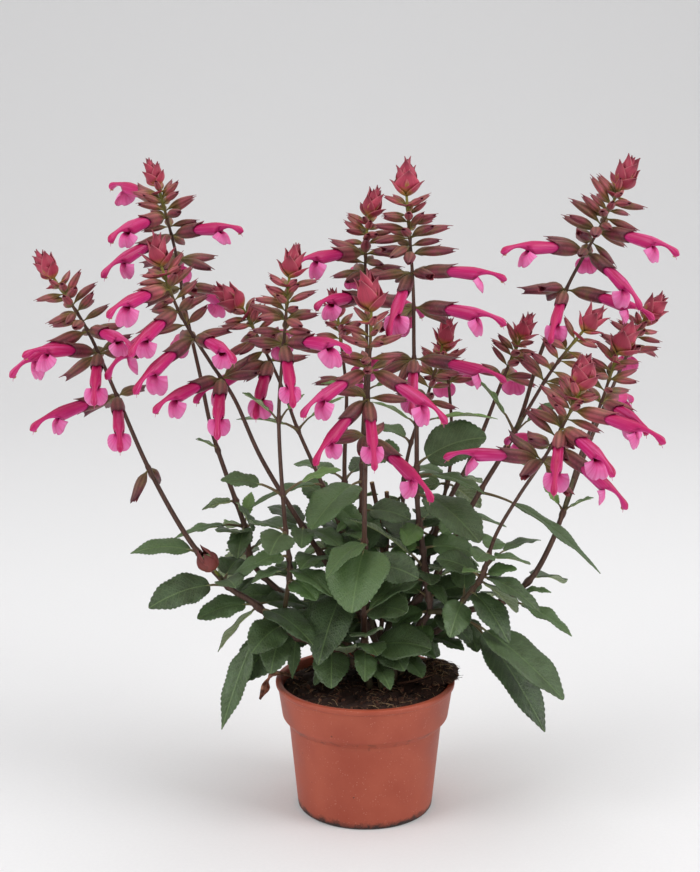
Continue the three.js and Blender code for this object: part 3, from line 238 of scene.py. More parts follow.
SPIKES = {
    "01": dict(plant="01", split=244, spin=10, tip=[-226, -10, 407], path=[[2, -5, 78],
        [2, -5, 98], [-18, -7, 116], [-53, -8, 131], [-80, -13, 156], [-97, -14, 168],
        [-124, -12, 201], [-151, -10, 251], [-172, -10, 303], [-191, -10, 349], [-213, -10, 385]],
        whorls=[[9, 3], [18, 4], [28, 5], [43, 5], [60, 6], [92, 5], [147, 2]],
        flowers=[[3, -140, -25], [3, -54, -6], [4, -138, 3], [4, -84, -24], [5, -138, -14],
        [5, -80, -24]]),
    "02": dict(plant="02", split=264, spin=40, tip=[-155, 50, 465], path=[[1, 7, 78], [1, 7, 98],
        [-16, 12, 120], [-62, 22, 153], [-83, 28, 174], [-88, 32, 199], [-110, 40, 263],
        [-120, 44, 310], [-130, 48, 357], [-136, 50, 396], [-148, 50, 446]],
        whorls=[[6, 3], [14, 4], [24, 5], [37, 5], [54, 6], [75, 5]],
        flowers=[[1, 132, 8], [2, -117, -12], [3, -35, 3], [3, -134, -24], [4, 95, -12],
        [5, 60, -20]]),
    "03": dict(plant="03", split=250, spin=75, tip=[-141, -22, 416], path=[[11, 3, 78],
        [11, 3, 98], [7, 4, 122], [-15, 0, 161], [-43, -6, 207], [-72, -14, 259], [-90, -18, 302],
        [-106, -20, 328], [-126, -22, 362], [-138, -22, 394]],
        whorls=[[8, 4], [17, 5], [33, 6], [54, 6], [87, 5]],
        flowers=[[1, -120, -12], [2, -112, -20], [2, -160, -30], [3, -122, -26], [3, -62, -8],
        [4, -88, -26], [4, -128, -14], [3, 110, -14]]),
    "04": dict(plant="03", split=281, spin=15, tip=[-107, 20, 377], branch=True, path=[[7, 4, 122],
        [1, 6, 150], [-8, 8, 180], [-29, 10, 232], [-48, 14, 275], [-57, 16, 300], [-68, 18, 325],
        [-87, 20, 362]],
        whorls=[[6, 4], [15, 5], [26, 5], [43, 6]],
        flowers=[[3, -134, -22], [3, -86, -26], [2, 70, -8]]),
    "05": dict(plant="01", split=298, spin=50, tip=[-46, -40, 410], branch=True,
        path=[[-53, -8, 131], [-57, -14, 150], [-53, -24, 183], [-56, -30, 220], [-59, -38, 291],
        [-55, -40, 345], [-51, -40, 388]],
        whorls=[[8, 5], [18, 6], [29, 6], [45, 6]],
        flowers=[[3, -49, 0], [3, -82, -30], [3, 95, -10]]),
    "06": dict(plant="04", split=322, spin=20, tip=[10, 48, 447], branch=True, path=[[0, -14, 121],
        [-1, -6, 150], [-2, 0, 183], [-3, 8, 225], [-2, 20, 267], [1, 38, 329], [0, 46, 392],
        [2, 48, 424]],
        whorls=[[6, 3], [14, 5], [27, 6], [40, 6], [59, 5]],
        flowers=[[2, -138, -6], [4, -121, -2], [3, 110, -10], [4, 50, -16]]),
    "07": dict(plant="05", split=290, spin=65, tip=[28, 14, 466], path=[[21, -2, 78], [21, -2, 98],
        [24, -1, 112], [36, 0, 131], [46, 0, 145], [44, 0, 165], [41, 2, 191], [37, 5, 224],
        [36, 10, 284], [34, 12, 330], [33, 14, 378], [28, 14, 440]],
        whorls=[[9, 4], [19, 5], [30, 5], [41, 6], [54, 6], [78, 5], [114, 5]],
        flowers=[[4, -7, -5], [5, -30, -8], [4, -108, -34], [6, -11, -14], [6, -94, -26],
        [5, 100, -10], [6, 130, -16]]),
    "08": dict(plant="04", split=258, spin=30, tip=[1, -54, 389], path=[[11, -8, 78], [11, -8, 98],
        [0, -14, 121], [-1, -22, 160], [-1, -30, 202], [-1, -36, 233], [0, -46, 285],
        [1, -50, 311], [2, -52, 335], [3, -54, 367]],
        whorls=[[11, 4], [25, 6], [40, 6], [59, 5], [86, 5]],
        flowers=[[2, -145, -22], [3, -128, -34], [2, -38, -26], [3, -96, -36], [4, -44, -32]]),
    "09": dict(plant="06", split=262, spin=0, tip=[-25, 84, 372], path=[[10, 15, 78], [10, 15, 98],
        [11, 16, 114], [0, 28, 145], [-10, 42, 183], [-15, 60, 228], [-14, 72, 272],
        [-14, 78, 297], [-20, 84, 348]],
        whorls=[[7, 3], [17, 4], [50, 5]],
        flowers=[[2, 80, -10]]),
    "10": dict(plant="06", split=270, spin=45, tip=[65, 74, 351], branch=True, path=[[11, 16, 114],
        [23, 26, 145], [28, 48, 204], [29, 56, 229], [35, 62, 258], [47, 70, 291], [58, 74, 328]],
        whorls=[[11, 4], [24, 5], [43, 4]],
        flowers=[[1, 60, -4]]),
    "11": dict(plant="08", split=268, spin=60, tip=[124, 66, 356], path=[[23, 18, 78],
        [23, 18, 98], [26, 18, 118], [37, 30, 144], [56, 50, 200], [79, 60, 244], [92, 64, 275],
        [103, 66, 305], [115, 66, 334]],
        whorls=[[6, 3], [15, 5], [31, 5]],
        flowers=[[2, 75, -12]]),
    "12": dict(plant="07", split=283, spin=25, tip=[187, 34, 465], path=[[18, 11, 78],
        [18, 11, 98], [20, 11, 114], [24, 10, 137], [40, 12, 152], [52, 14, 168], [61, 14, 190],
        [82, 16, 229], [108, 20, 275], [124, 26, 326], [143, 32, 374], [163, 34, 412],
        [179, 34, 444]],
        whorls=[[5, 3], [13, 4], [23, 5], [34, 6], [50, 6], [80, 5]],
        flowers=[[4, -155, 0], [3, -42, -13], [4, -66, -34], [5, -20, -18], [5, -108, -30],
        [4, 80, -10]]),
    "13": dict(plant="07", split=284, spin=80, tip=[164, -4, 365], branch=True,
        path=[[108, 20, 275], [117, 14, 293], [126, 6, 312], [136, 0, 329], [150, -4, 348]],
        whorls=[[9, 4], [27, 4], [46, 4]],
        flowers=[]),
    "14": dict(plant="05", split=206, spin=5, tip=[145, -62, 345], branch=True, path=[[46, 0, 145],
        [62, -10, 149], [72, -18, 163], [81, -24, 178], [89, -34, 210], [103, -44, 240],
        [118, -54, 268], [133, -60, 299], [140, -62, 316]],
        whorls=[[6, 4], [15, 5], [29, 6], [43, 5], [55, 5]],
        flowers=[[4, 178, 0], [2, -102, -30], [1, -28, -16], [3, -12, -40], [2, -70, -16],
        [3, 110, -10]]),
    "15": dict(plant="09", split=240, spin=35, tip=[186, 0, 352], branch=True,
        path=[[144, 18, 217], [153, 12, 257], [165, 6, 294], [175, 0, 332]],
        whorls=[[8, 4], [20, 6], [38, 5]],
        flowers=[[2, -72, -10], [2, 60, -8]]),
    "16": dict(plant="09", split=256, spin=10, tip=[220, 56, 369], path=[[27, 7, 78], [27, 7, 98],
        [33, 8, 118], [51, 8, 127], [71, 10, 141], [98, 12, 148], [120, 14, 165], [134, 16, 190],
        [144, 18, 217], [163, 30, 265], [186, 48, 313], [204, 56, 350]],
        whorls=[[7, 4], [15, 4], [28, 5]],
        flowers=[[2, 80, -12]]),
    "17": dict(plant="01", split=178, spin=0, tip=[-112, -32, 196], branch=True, bud=True,
        path=[[-97, -14, 168], [-100, -20, 174], [-106, -26, 184]],
        whorls=[], flowers=[]),
    "18": dict(plant="08", split=262, spin=70, tip=[61, 102, 340], branch=True,
        path=[[26, 18, 118], [32, 34, 143], [49, 60, 182], [64, 84, 223], [67, 96, 264],
        [62, 102, 320]],
        whorls=[[8, 4], [24, 5]],
        flowers=[[1, 90, -10]]),
}

# Leaves, by the stem that they grow from: height on the stem, the place of the tip, the width, and
# where they differ from the usual, the blade's turn about its rib and the stalk's share of length
LEAF_LIE = (0, 0.2)
LEAVES = {
    "01": [[192, [-165, -18, 193], 18, 30, 0.12], [168, [-150, -40, 160], 26, 35, 0.25],
        [146, [-100, -52, 76], 19, 0, 0.38], [152, [-107, 4, 113], 15, 0, 0.15],
        [150, [-36, -56, 139], 27, 0, 0.15], [170, [-60, -24, 191], 18, -25, 0.15],
        [131, [-64, -4, 106], 14, 0, 0.3], [129, [-52, -22, 102], 10], [119, [-24, -46, 104], 26],
        [115, [-38, -30, 106], 16], [113, [-14, -34, 118], 16]],
    "05": [[183, [-23, -58, 174], 22, 0, 0.1], [183, [-78, -46, 180], 15, 0, 0.15],
        [238, [-99, -38, 250], 17, 25, 0.4], [238, [-17, -42, 258], 14, -10, 0.35],
        [290, [-84, -45, 312], 12, 0, 0.3], [290, [-42, -30, 308], 8, 0, 0.4]],
    "02": [[199, [-139, 18, 194], 14, 0, 0.3], [199, [-48, 10, 203], 20],
        [190, [-110, 8, 203], 22, 0, 0.1], [172, [-92, 0, 168], 14], [176, [-98, 72, 168], 24],
        [150, [-62, 68, 138], 26], [126, [-44, 52, 116], 22], [256, [-122, 30, 270], 7],
        [200, [-84, 48, 222], 9]],
    "03": [[161, [-33, -50, 122], 32, 0, 0.12], [207, [-70, 26, 208], 22, 0, 0.15],
        [185, [-52, -44, 190], 22, 0, 0.15], [207, [-16, -30, 200], 22, 0, 0.15]],
    "04": [[236, [-83, -6, 222], 16, 0, 0.1], [275, [-84, 8, 301], 14, 0, 0.25],
        [275, [-15, 14, 299], 11, 0, 0.3], [196, [-34, 56, 196], 24, 0, 0.15],
        [160, [-22, 56, 146], 26, 0, 0.15]],
    "08": [[200, [-10, -76, 168], 44, 0, 0.12], [204, [-27, -70, 190], 22, 0, 0.05],
        [125, [8, -46, 128], 20], [110, [17, -46, 103], 16]],
    "06": [[238, [-34, -28, 203], 36], [250, [24, 2, 262], 22, -40, 0.15],
        [300, [-32, 30, 306], 10, 0, 0.25], [300, [34, 42, 306], 10, 0, 0.25]],
    "07": [[168, [2, -52, 163], 24], [166, [56, -24, 158], 12], [176, [-14, -18, 219], 20],
        [230, [78, -38, 206], 36], [243, [82, -28, 238], 17, 0, 0.25],
        [251, [88, -4, 262], 34, -55, 0.15], [279, [4, 4, 297], 11],
        [279, [93, 2, 273], 12, 0, 0.25], [112, [40, -30, 106], 18], [120, [50, -18, 116], 16],
        [204, [74, 38, 196], 24, 0, 0.15]],
    "14": [[146, [134, -68, 104], 40, 0, 0.42], [166, [94, -42, 130], 24, 0, 0.1],
        [178, [120, -44, 158], 22, 0, 0.1], [174, [108, -6, 146], 26, 0, 0.15],
        [192, [116, -14, 184], 18], [184, [149, -6, 191], 12, 0, 0.35], [180, [66, -40, 186], 9]],
    "09": [[183, [-48, 78, 178], 26, 0, 0.15], [183, [20, 92, 176], 24, 0, 0.15],
        [228, [-54, 82, 236], 20], [228, [14, 98, 238], 20]],
    "10": [[200, [34, 4, 196], 30, 0, 0.15], [256, [8, 92, 264], 16], [229, [70, 84, 222], 22]],
    "12": [[272, [81, 26, 309], 14, 0, 0.3], [270, [144, 34, 292], 12, 0, 0.3],
        [260, [132, 4, 263], 9], [229, [166, -14, 177], 21, 0, 0.3],
        [190, [98, 62, 180], 26, 0, 0.15]],
    "11": [[196, [46, 104, 190], 26, 0, 0.15], [200, [108, 68, 190], 24, 0, 0.15],
        [244, [66, 106, 250], 18], [244, [124, 52, 240], 18]],
    "16": [[149, [145, -26, 135], 19, 0, 0.3], [154, [134, 4, 158], 10],
        [140, [124, -54, 75], 36, 0, 0.3], [122, [70, -18, 122], 17, 0, 0.25],
        [164, [150, 54, 150], 24], [214, [162, 4, 228], 9, 0, 0.25],
        [214, [130, 30, 230], 9, 0, 0.25], [150, [96, 58, 138], 24]],
    "18": [[223, [92, 114, 214], 20], [223, [34, 112, 226], 20]],
}

# Old stems that were cut back: the plant that each grows from, and its points
STUBS = [
    ["06", [[11, 16, 114], [14, 26, 160], [10, 34, 205], [5, 36, 232]]],
    ["06", [[14, 26, 160], [17, 38, 200], [16, 40, 224]]],
]


WORLD_UP = np.array([0.0, 0.0, 1.0])


def unit(vectors):
    """Vectors of length one."""
    vectors = np.asarray(vectors, float)
    return vectors / np.linalg.norm(vectors, axis=-1, keepdims=True)


def lerp(a, b, share):
    return a + (b - a) * share


def smooth_step(share):
    share = np.clip(share, 0, 1)
    return share * share * (3 - 2 * share)


def flow(at, places, values):
    """Values on the smooth line through a few places, as a maker bends a batten."""
    places, values = np.asarray(places, float), np.asarray(values, float)
    slopes = np.gradient(values, places)
    at = np.clip(at, places[0], places[-1])
    i = np.clip(np.searchsorted(places, at, side="right") - 1, 0, len(places) - 2)
    span = places[i + 1] - places[i]
    t = (at - places[i]) / span
    rest = 1 - t
    return (
        values[i] * (1 + 2 * t) * rest**2
        + slopes[i] * span * t * rest**2
        + values[i + 1] * (3 - 2 * t) * t**2
        - slopes[i + 1] * span * rest * t**2
    )


def chance(seed):
    """A repeatable number from 0 to 1 for a whole number, the same as the frame's."""
    word = 0xFFFFFFFF
    n = (seed * 1664525 + 1013904223) & word
    n ^= n >> 15
    n = (n * 2246822519) & word
    n ^= n >> 13
    return n / 4294967296


def along(points, spacing):
    """Points every few millimetres along the smooth curve through a list of points."""
    held = np.array(points, float)
    held = np.vstack([2 * held[0] - held[1], held, 2 * held[-1] - held[-2]])
    spans = len(points) - 1
    place = np.arange(spans * 24 + 1) / 24
    i = np.minimum(place.astype(int), spans - 1)
    w = (place - i)[:, None]
    before, start, end, after = held[i], held[i + 1], held[i + 2], held[i + 3]
    leave, arrive = 0.5 * (end - before), 0.5 * (after - start)
    fine = (
        start
        + leave * w
        + (3 * (end - start) - 2 * leave - arrive) * w**2
        + (2 * (start - end) + leave + arrive) * w**3
    )
    walked = travelled(fine)
    steps = max(1, round(walked[-1] / spacing))
    return pick(fine, walked, walked[-1] * np.arange(steps + 1) / steps)


def travelled(run):
    """The distance from a run's first point to each of its points."""
    return np.concatenate([[0], np.cumsum(np.linalg.norm(np.diff(run, axis=0), axis=1))])


def pick(run, walked, distances):
    """The points of a run at some distances along it."""
    return np.stack([np.interp(distances, walked, run[:, k]) for k in range(3)], axis=-1)


def at_height(run, height):
    """Where a run first rises through a height, and the number of the point above it."""
    for i in range(1, len(run)):
        if run[i][2] >= height > run[i - 1][2]:
            share = (height - run[i - 1][2]) / (run[i][2] - run[i - 1][2])
            return i, lerp(run[i - 1], run[i], share)
    return 1, run[0].copy()


def below_top(run, distance):
    """The point at a distance below the top of a run."""
    walked = travelled(run)
    return pick(run, walked, walked[-1] - distance)


def on_arc(organ, distance):
    """Places on an organ that leaves the stem at a heading and bends down along its length."""
    heading, bend = math.radians(organ["heading"]), math.radians(organ["bend"])
    start = math.radians(organ["rise"]) + bend
    curl = 2 * bend / organ["length"]
    now = start - curl * np.asarray(distance, float)
    reach = (math.sin(start) - np.sin(now))[..., None] / curl
    lift = (np.cos(now) - math.cos(start))[..., None] / curl
    out = np.array([math.cos(heading), math.sin(heading), 0.0])
    point = organ["base"] + reach * out + lift * WORLD_UP
    forward = np.cos(now)[..., None] * out + np.sin(now)[..., None] * WORLD_UP
    over = -np.sin(now)[..., None] * out + np.cos(now)[..., None] * WORLD_UP
    across = np.array([math.sin(heading), -math.cos(heading), 0.0])
    return point, forward, over, across


def lip_frame(organ, lean=LIP_LEAN):
    """The throat's middle, and the directions in which the lower lip hangs and faces."""
    point, forward, over, across = on_arc(organ, FLOWER["lip_at"] * organ["size"])
    hang = forward * math.sin(lean) - over * math.cos(lean)
    return point, hang, across, unit(np.cross(across, hang))


def organ_balls(organ, steps):
    distance, radius = np.array(steps, float).T * organ["size"]
    return on_arc(organ, distance)[0], radius, distance < ROOT_ZONE


def flower_balls(organ):
    """The balls of an open flower, with those of its lower lip."""
    places, radii, near = organ_balls(organ, FLOWER_BALLS)
    throat, hang, across, _ = lip_frame(organ)
    down, aside, radius = np.array(LIP_BALLS, float).T * organ["size"]
    lip = throat + down[:, None] * hang + aside[:, None] * across
    return np.vstack([places, lip]), np.append(radii, radius), np.append(near, [False] * len(lip))


def leaf_frame(leaf, share):
    """Places on a leaf's arched rib, with the directions along, across and out of its blade."""
    share = np.asarray(share, float)[..., None]
    base, tip = leaf["base"], leaf["tip"]
    span = tip - base
    level = unit(span * [1, 1, 0])
    middle = base + span * LEAF["arch_at"] + WORLD_UP * LEAF["arch"] * np.linalg.norm(span)
    near, far = lerp(base, middle, share), lerp(middle, tip, share)
    forward = unit(far - near)
    flat = np.array([-level[1], level[0], 0.0])
    normal = np.cross(forward, flat)
    roll = math.radians(leaf["roll"])
    side = flat * math.cos(roll) - normal * math.sin(roll)
    face = normal * math.cos(roll) + flat * math.sin(roll)
    return lerp(near, far, share), forward, side, face


def half_width(leaf, share):
    blade = np.clip((share - leaf["stalk"]) / (1 - leaf["stalk"]), 0, 1)
    round_off = np.maximum(np.sin(np.pi * blade ** LEAF["widest_near"]), 0)
    return 0.5 * leaf["width"] * round_off ** LEAF["bluntness"]


def leaf_balls(planned):
    """The balls of a leaf, in rows along its rib."""
    leaf = with_tip(planned)
    rows = max(3, math.floor(leaf["length"] / LEAF_BALLS["spacing"] + 0.5))
    places, radii, near = [], [], []
    for i in range(1, rows + 1):
        share = i / (rows + 0.4)
        point, _, side, _ = leaf_frame(leaf, share)
        half = float(half_width(leaf, share))
        columns = math.floor(half / LEAF_BALLS["aside"])
        for k in range(-columns, columns + 1):
            places.append(point + side * (k / (columns + 0.55)) * half)
            radii.append(LEAF_BALLS["wide"] if half > 2 else LEAF_BALLS["narrow"])
            near.append(share * leaf["length"] < LEAF_ROOT_ZONE)
    return np.array(places), np.array(radii), np.array(near)


def with_tip(leaf):
    rise, heading = math.radians(leaf["rise"]), math.radians(leaf["heading"])
    out = np.array([math.cos(heading), math.sin(heading), 0.0]) * math.cos(rise)
    out[2] = math.sin(rise)
    return {**leaf, "tip": leaf["base"] + out * leaf["length"]}


def compost_height(x, y):
    """The height of the compost, with its shallow bumps and the heap at the right."""
    bumps = np.sin(x * 0.21 + 1.3) * np.cos(y * 0.17 - 0.4) + 0.6 * np.sin(x * 0.53 - y * 0.47)
    at, reach = COMPOST_HEAP["at"], COMPOST_HEAP["reach"]
    away = np.hypot(x - at[0], y - at[1]) / reach
    heap = COMPOST_HEAP["height"] * np.maximum(0, 1 - away**2)
    return COMPOST["top"] + COMPOST["relief"] * bumps + heap


class Room:
    """The balls that stems and organs fill, so that no two nodes cross."""

    def __init__(self, rim_radius, pot_height):
        self.rim_radius, self.pot_height = rim_radius, pot_height
        self.owners = []
        self.places, self.radii = np.zeros((0, 3)), np.zeros(0)
        self.owner, self.stem, self.near = np.zeros(0, int), np.zeros(0, bool), np.zeros(0, bool)

    def number(self, owner):
        if owner not in self.owners:
            self.owners.append(owner)
        return self.owners.index(owner)

    def keep(self, owner, places, radii, near=False, stem=False):
        count = len(places)
        self.places = np.vstack([self.places, places])
        self.radii = np.append(self.radii, np.broadcast_to(radii, count))
        self.owner = np.append(self.owner, [self.number(owner)] * count)
        self.near = np.append(self.near, np.broadcast_to(near, count))
        self.stem = np.append(self.stem, [stem] * count)

    def clear_of_pot(self, places, radii):
        x, y, z = places.T
        outside = (np.hypot(x, y) > self.rim_radius + 5 + radii) | (z > self.pot_height + 20)
        ground = np.maximum(self.pot_height, compost_height(x, y))
        return bool(np.all(outside | (z > ground + radii + 1)))

    def is_clear(self, owner, places, radii, near, around):
        if not self.clear_of_pot(places, radii):
            return False
        own = self.owner[around] == self.number(owner)
        may_meet = own & (self.stem[around] | (near[:, None] & self.near[around]))
        room = radii[:, None] + self.radii[around] + SPACING
        apart = ((places[:, None] - self.places[around]) ** 2).sum(axis=2)
        return not np.any((apart < room**2) & ~may_meet)

    def place(self, owner, organ, balls_of):
        """An organ as planned, or turned and lifted by the least that keeps it clear."""
        moves = [(turn, lift) for turn in TURNS for lift in LIFTS]
        moves.sort(key=lambda move: abs(move[0]) + LIFT_COST * abs(move[1]))
        away = np.linalg.norm(self.places - organ["base"], axis=1)
        around = np.flatnonzero(away < organ["length"] + NEIGHBOURHOOD)
        for turn, lift in moves:
            moved = {**organ, "heading": organ["heading"] + turn, "rise": organ["rise"] + lift}
            places, radii, near = balls_of(moved)
            if self.is_clear(owner, places, radii, near, around):
                self.keep(owner, places, radii, near)
                return moved
        return None


def face_phase(spike, ring):
    """How a ring's six faces are turned: one looks along the ring's first flower's heading."""
    first = [heading for at, heading, _ in spike["flowers"] if at == ring]
    if not first:
        return spike["spin"] + 30 * (ring % 2)
    return spike["spin"] + (first[0] - spike["spin"] + 30) % 60 - 30


def turn_apart(a, b):
    return abs((a - b + 180) % 360 - 180)


class Plant:
    """The plan worked out: stems' runs, organs of the spikes and leaves, each in its place."""

    def __init__(self, rim_radius, pot_height):
        self.room = Room(rim_radius, pot_height)
        self.runs, self.organs, self.leaves = {}, [], []
        self.names = sorted(SPIKES)
        self.plants = sorted({spike["plant"] for spike in SPIKES.values()})
        self.lay_stems()
        self.open_flowers()
        self.grow_leaves()
        self.close_rings()
        self.crowd_spikes()
        self.fill_bush()

    def lay_stems(self):
        """Each stem's fine run, cut in two where its flower spike begins."""
        for name in self.names:
            spike = SPIKES[name]
            fine = along(spike["path"], FINE_STEP)
            index, point = at_height(fine, spike["split"])
            foot = STEM_RADIUS["foot"] * (BRANCH_SHARE if "branch" in spike else 1)
            if "bud" in spike:
                foot = STEM_RADIUS["twig"]
            middle = lerp(foot, STEM_RADIUS["top"], MIDDLE_SHARE)
            lower = np.vstack([fine[:index], point])
            upper = np.vstack([point, fine[index:]])
            lean = unit(np.array(spike["tip"], float) - fine[-1])
            self.runs[name] = {
                "fine": fine, "lower": lower, "upper": upper, "base": fine[-1], "lean": lean,
                "foot": foot, "middle": middle,
            }
            self.keep_stem("plant " + spike["plant"], lower, foot, middle)
            self.keep_stem("spike " + name, upper, middle, STEM_RADIUS["top"])
            distance, radius = np.array(BUD_BALLS if "bud" in spike else CONE_BALLS, float).T
            self.room.keep("spike " + name, fine[-1] + distance[:, None] * lean, radius)
        for plant, path in STUBS:
            self.keep_stem("plant " + plant, along(path, FINE_STEP), STUB_RADIUS, STUB_RADIUS)

    def keep_stem(self, owner, run, first, last):
        radii = np.linspace(first, last, len(run)) + CLEARANCE
        self.room.keep(owner, run, radii, stem=True)

    def faces_of(self, name, ring):
        return [o["face"] for o in self.organs if o["name"] == name and o["ring"] == ring]

    def open_flowers(self):
        for name in self.names:
            spike = SPIKES[name]
            for i, (ring, heading, rise) in enumerate(spike["flowers"]):
                size = lerp(*FLOWER_SIZE, chance(int(name) * 100 + i))
                planned = {
                    "base": below_top(self.runs[name]["fine"], spike["whorls"][ring][0]),
                    "heading": heading, "rise": rise, "bend": FLOWER["bend"],
                    "length": FLOWER["reach"] * size, "size": size,
                }
                organ = self.room.place("spike " + name, planned, flower_balls)
                if organ is None:
                    raise RuntimeError(f"No clear place for flower {i} of spike {name}")
                phase, used = face_phase(spike, ring), self.faces_of(name, ring)
                free = [k for k in range(6) if k not in used]
                face = min(free, key=lambda k: turn_apart(phase + 60 * (k + 1), organ["heading"]))
                organ.update(name=name, ring=ring, face=face, open=True)
                self.organs.append(organ)

    def grow_leaves(self):
        for stem in sorted(LEAVES):
            for height, tip, width, *lie in LEAVES[stem]:
                roll, stalk = lie or LEAF_LIE
                base = at_height(self.runs[stem]["fine"], height)[1]
                span = np.array(tip, float) - base
                length = float(np.linalg.norm(span))
                planned = {
                    "base": base, "heading": math.degrees(math.atan2(span[1], span[0])),
                    "rise": math.degrees(math.asin(span[2] / length)), "width": width,
                    "roll": roll, "stalk": stalk, "length": length,
                }
                if not self.add_leaf(stem, planned):
                    raise RuntimeError(f"No clear place for the leaf at {tip} of stem {stem}")

    def add_leaf(self, stem, planned):
        """A leaf of a stem, if there is room for it."""
        plant = SPIKES[stem]["plant"]
        leaf = self.room.place("plant " + plant, planned, leaf_balls)
        if leaf is not None:
            self.leaves.append({**with_tip(leaf), "plant": plant, "stem": stem})
        return leaf

    def stem_tilt(self, name, distance, heading):
        """How far the stem leans towards a heading at a ring, in degrees."""
        fine = self.runs[name]["fine"]
        way = unit(below_top(fine, max(0, distance - 4)) - below_top(fine, distance + 4))
        turned = math.radians(heading)
        towards = way[0] * math.cos(turned) + way[1] * math.sin(turned)
        return math.degrees(math.asin(towards))

    def add_calyx(self, name, ring, face, seed, distance, heading, rise, size, kind):
        """A calyx without a flower on a spike, strayed by chance, if there is room for it."""
        heading = heading + kind["heading"] * (chance(seed) - 0.5)
        rise = rise - CALYX_RISE["fall"] * int(ring) + kind["rise"] * (chance(seed + 900) - 0.5)
        size = size * lerp(*kind["size"], chance(seed + 500))
        planned = {
            "base": below_top(self.runs[name]["fine"], distance), "heading": heading,
            "rise": rise - self.stem_tilt(name, distance, heading),
            "bend": CALYX["bend"], "length": CALYX["reach"] * size, "size": size,
        }
        organ = self.room.place(
            "spike " + name, planned, lambda moved: organ_balls(moved, kind["balls"])
        )
        if organ is not None:
            organ.update(name=name, ring=ring, face=face, open=False)
            self.organs.append(organ)

    def close_rings(self):
        """Calyces without a flower stand on the other faces of each ring."""
        for name in self.names:
            spike = SPIKES[name]
            for ring, (distance, count) in enumerate(spike["whorls"]):
                phase, used = face_phase(spike, ring), self.faces_of(name, ring)
                free = [face for face in (0, 3, 1, 4, 2, 5) if face not in used]
                for face in free[: max(0, count - len(used))]:
                    seed = int(name) * 1000 + ring * 10 + face
                    ripe = min(1, CALYX_SIZE["youngest"] + CALYX_SIZE["growth"] * ring)
                    self.add_calyx(
                        name, ring, face, seed, distance, phase + 60 * (face + 1),
                        CALYX_RISE["youngest"], ripe, RING_CALYX,
                    )

    def crowd_spikes(self):
        """Buds between the rings near a spike's top, where the frame has room for them."""
        for name in self.names:
            whorls = SPIKES[name]["whorls"]
            for ring in range(len(whorls) - 1):
                above, below = whorls[ring][0], whorls[ring + 1][0]
                if below - above > CROWDING["gap"] or above > CROWDING["reach"]:
                    continue
                for face in range(ring % 2, 6, 2):
                    seed = int(name) * 1000 + ring * 10 + face + 20000
                    heading = face_phase(SPIKES[name], ring) + 60 * face + 30
                    ripe = min(0.9, CALYX_SIZE["youngest"] + CALYX_SIZE["growth"] * (ring + 0.2))
                    self.add_calyx(
                        name, ring + 0.5, face + 6, seed, (above + below) / 2, heading,
                        CROWDING["rise"], ripe, CROWD_CALYX,
                    )

    def fill_bush(self):
        """Small leaves in pairs along the stems, wherever the frame's organs leave room."""
        for stem in self.names:
            lower = self.runs[stem]["lower"]
            if "bud" in SPIKES[stem]:
                continue
            first = FILLING["low"] + FILLING["step"] * chance(int(stem) + 300)
            heights = np.arange(first, min(FILLING["high"], lower[-1][2] - 6), FILLING["step"])
            for k, height in enumerate(heights):
                base = at_height(lower, height)[1]
                if math.hypot(base[0], base[1]) > FILLING["reach"]:
                    continue
                for way in (0, 180):
                    seed = int(stem) * 1000 + k * 10 + way // 180 + 40000
                    heading = 90 * k + way + 90 * (chance(seed + 5000) - 0.5)
                    size = lerp(*FILLING["length"], chance(seed))
                    size = size * lerp(1, FILLING["upper"], k / len(heights))
                    # A blade turns its face outwards, to the nearer of the front and the back
                    facing = FILLING["facing"] * (-1 if base[1] < FILLING["middle"] else 1)
                    planned = {
                        "base": base, "heading": heading, "length": size,
                        "rise": lerp(*FILLING["rise"], chance(seed + 9000)),
                        "width": size * FILLING["width"] * lerp(0.85, 1.25, chance(seed + 13000)),
                        "roll": facing * math.cos(math.radians(heading))
                        + 24 * (chance(seed + 17000) - 0.5), "stalk": 0.2,
                    }
                    self.add_leaf(stem, planned)


@functools.lru_cache(maxsize=1)
def planned_plant(rim_radius, pot_height):
    return Plant(rim_radius, pot_height)


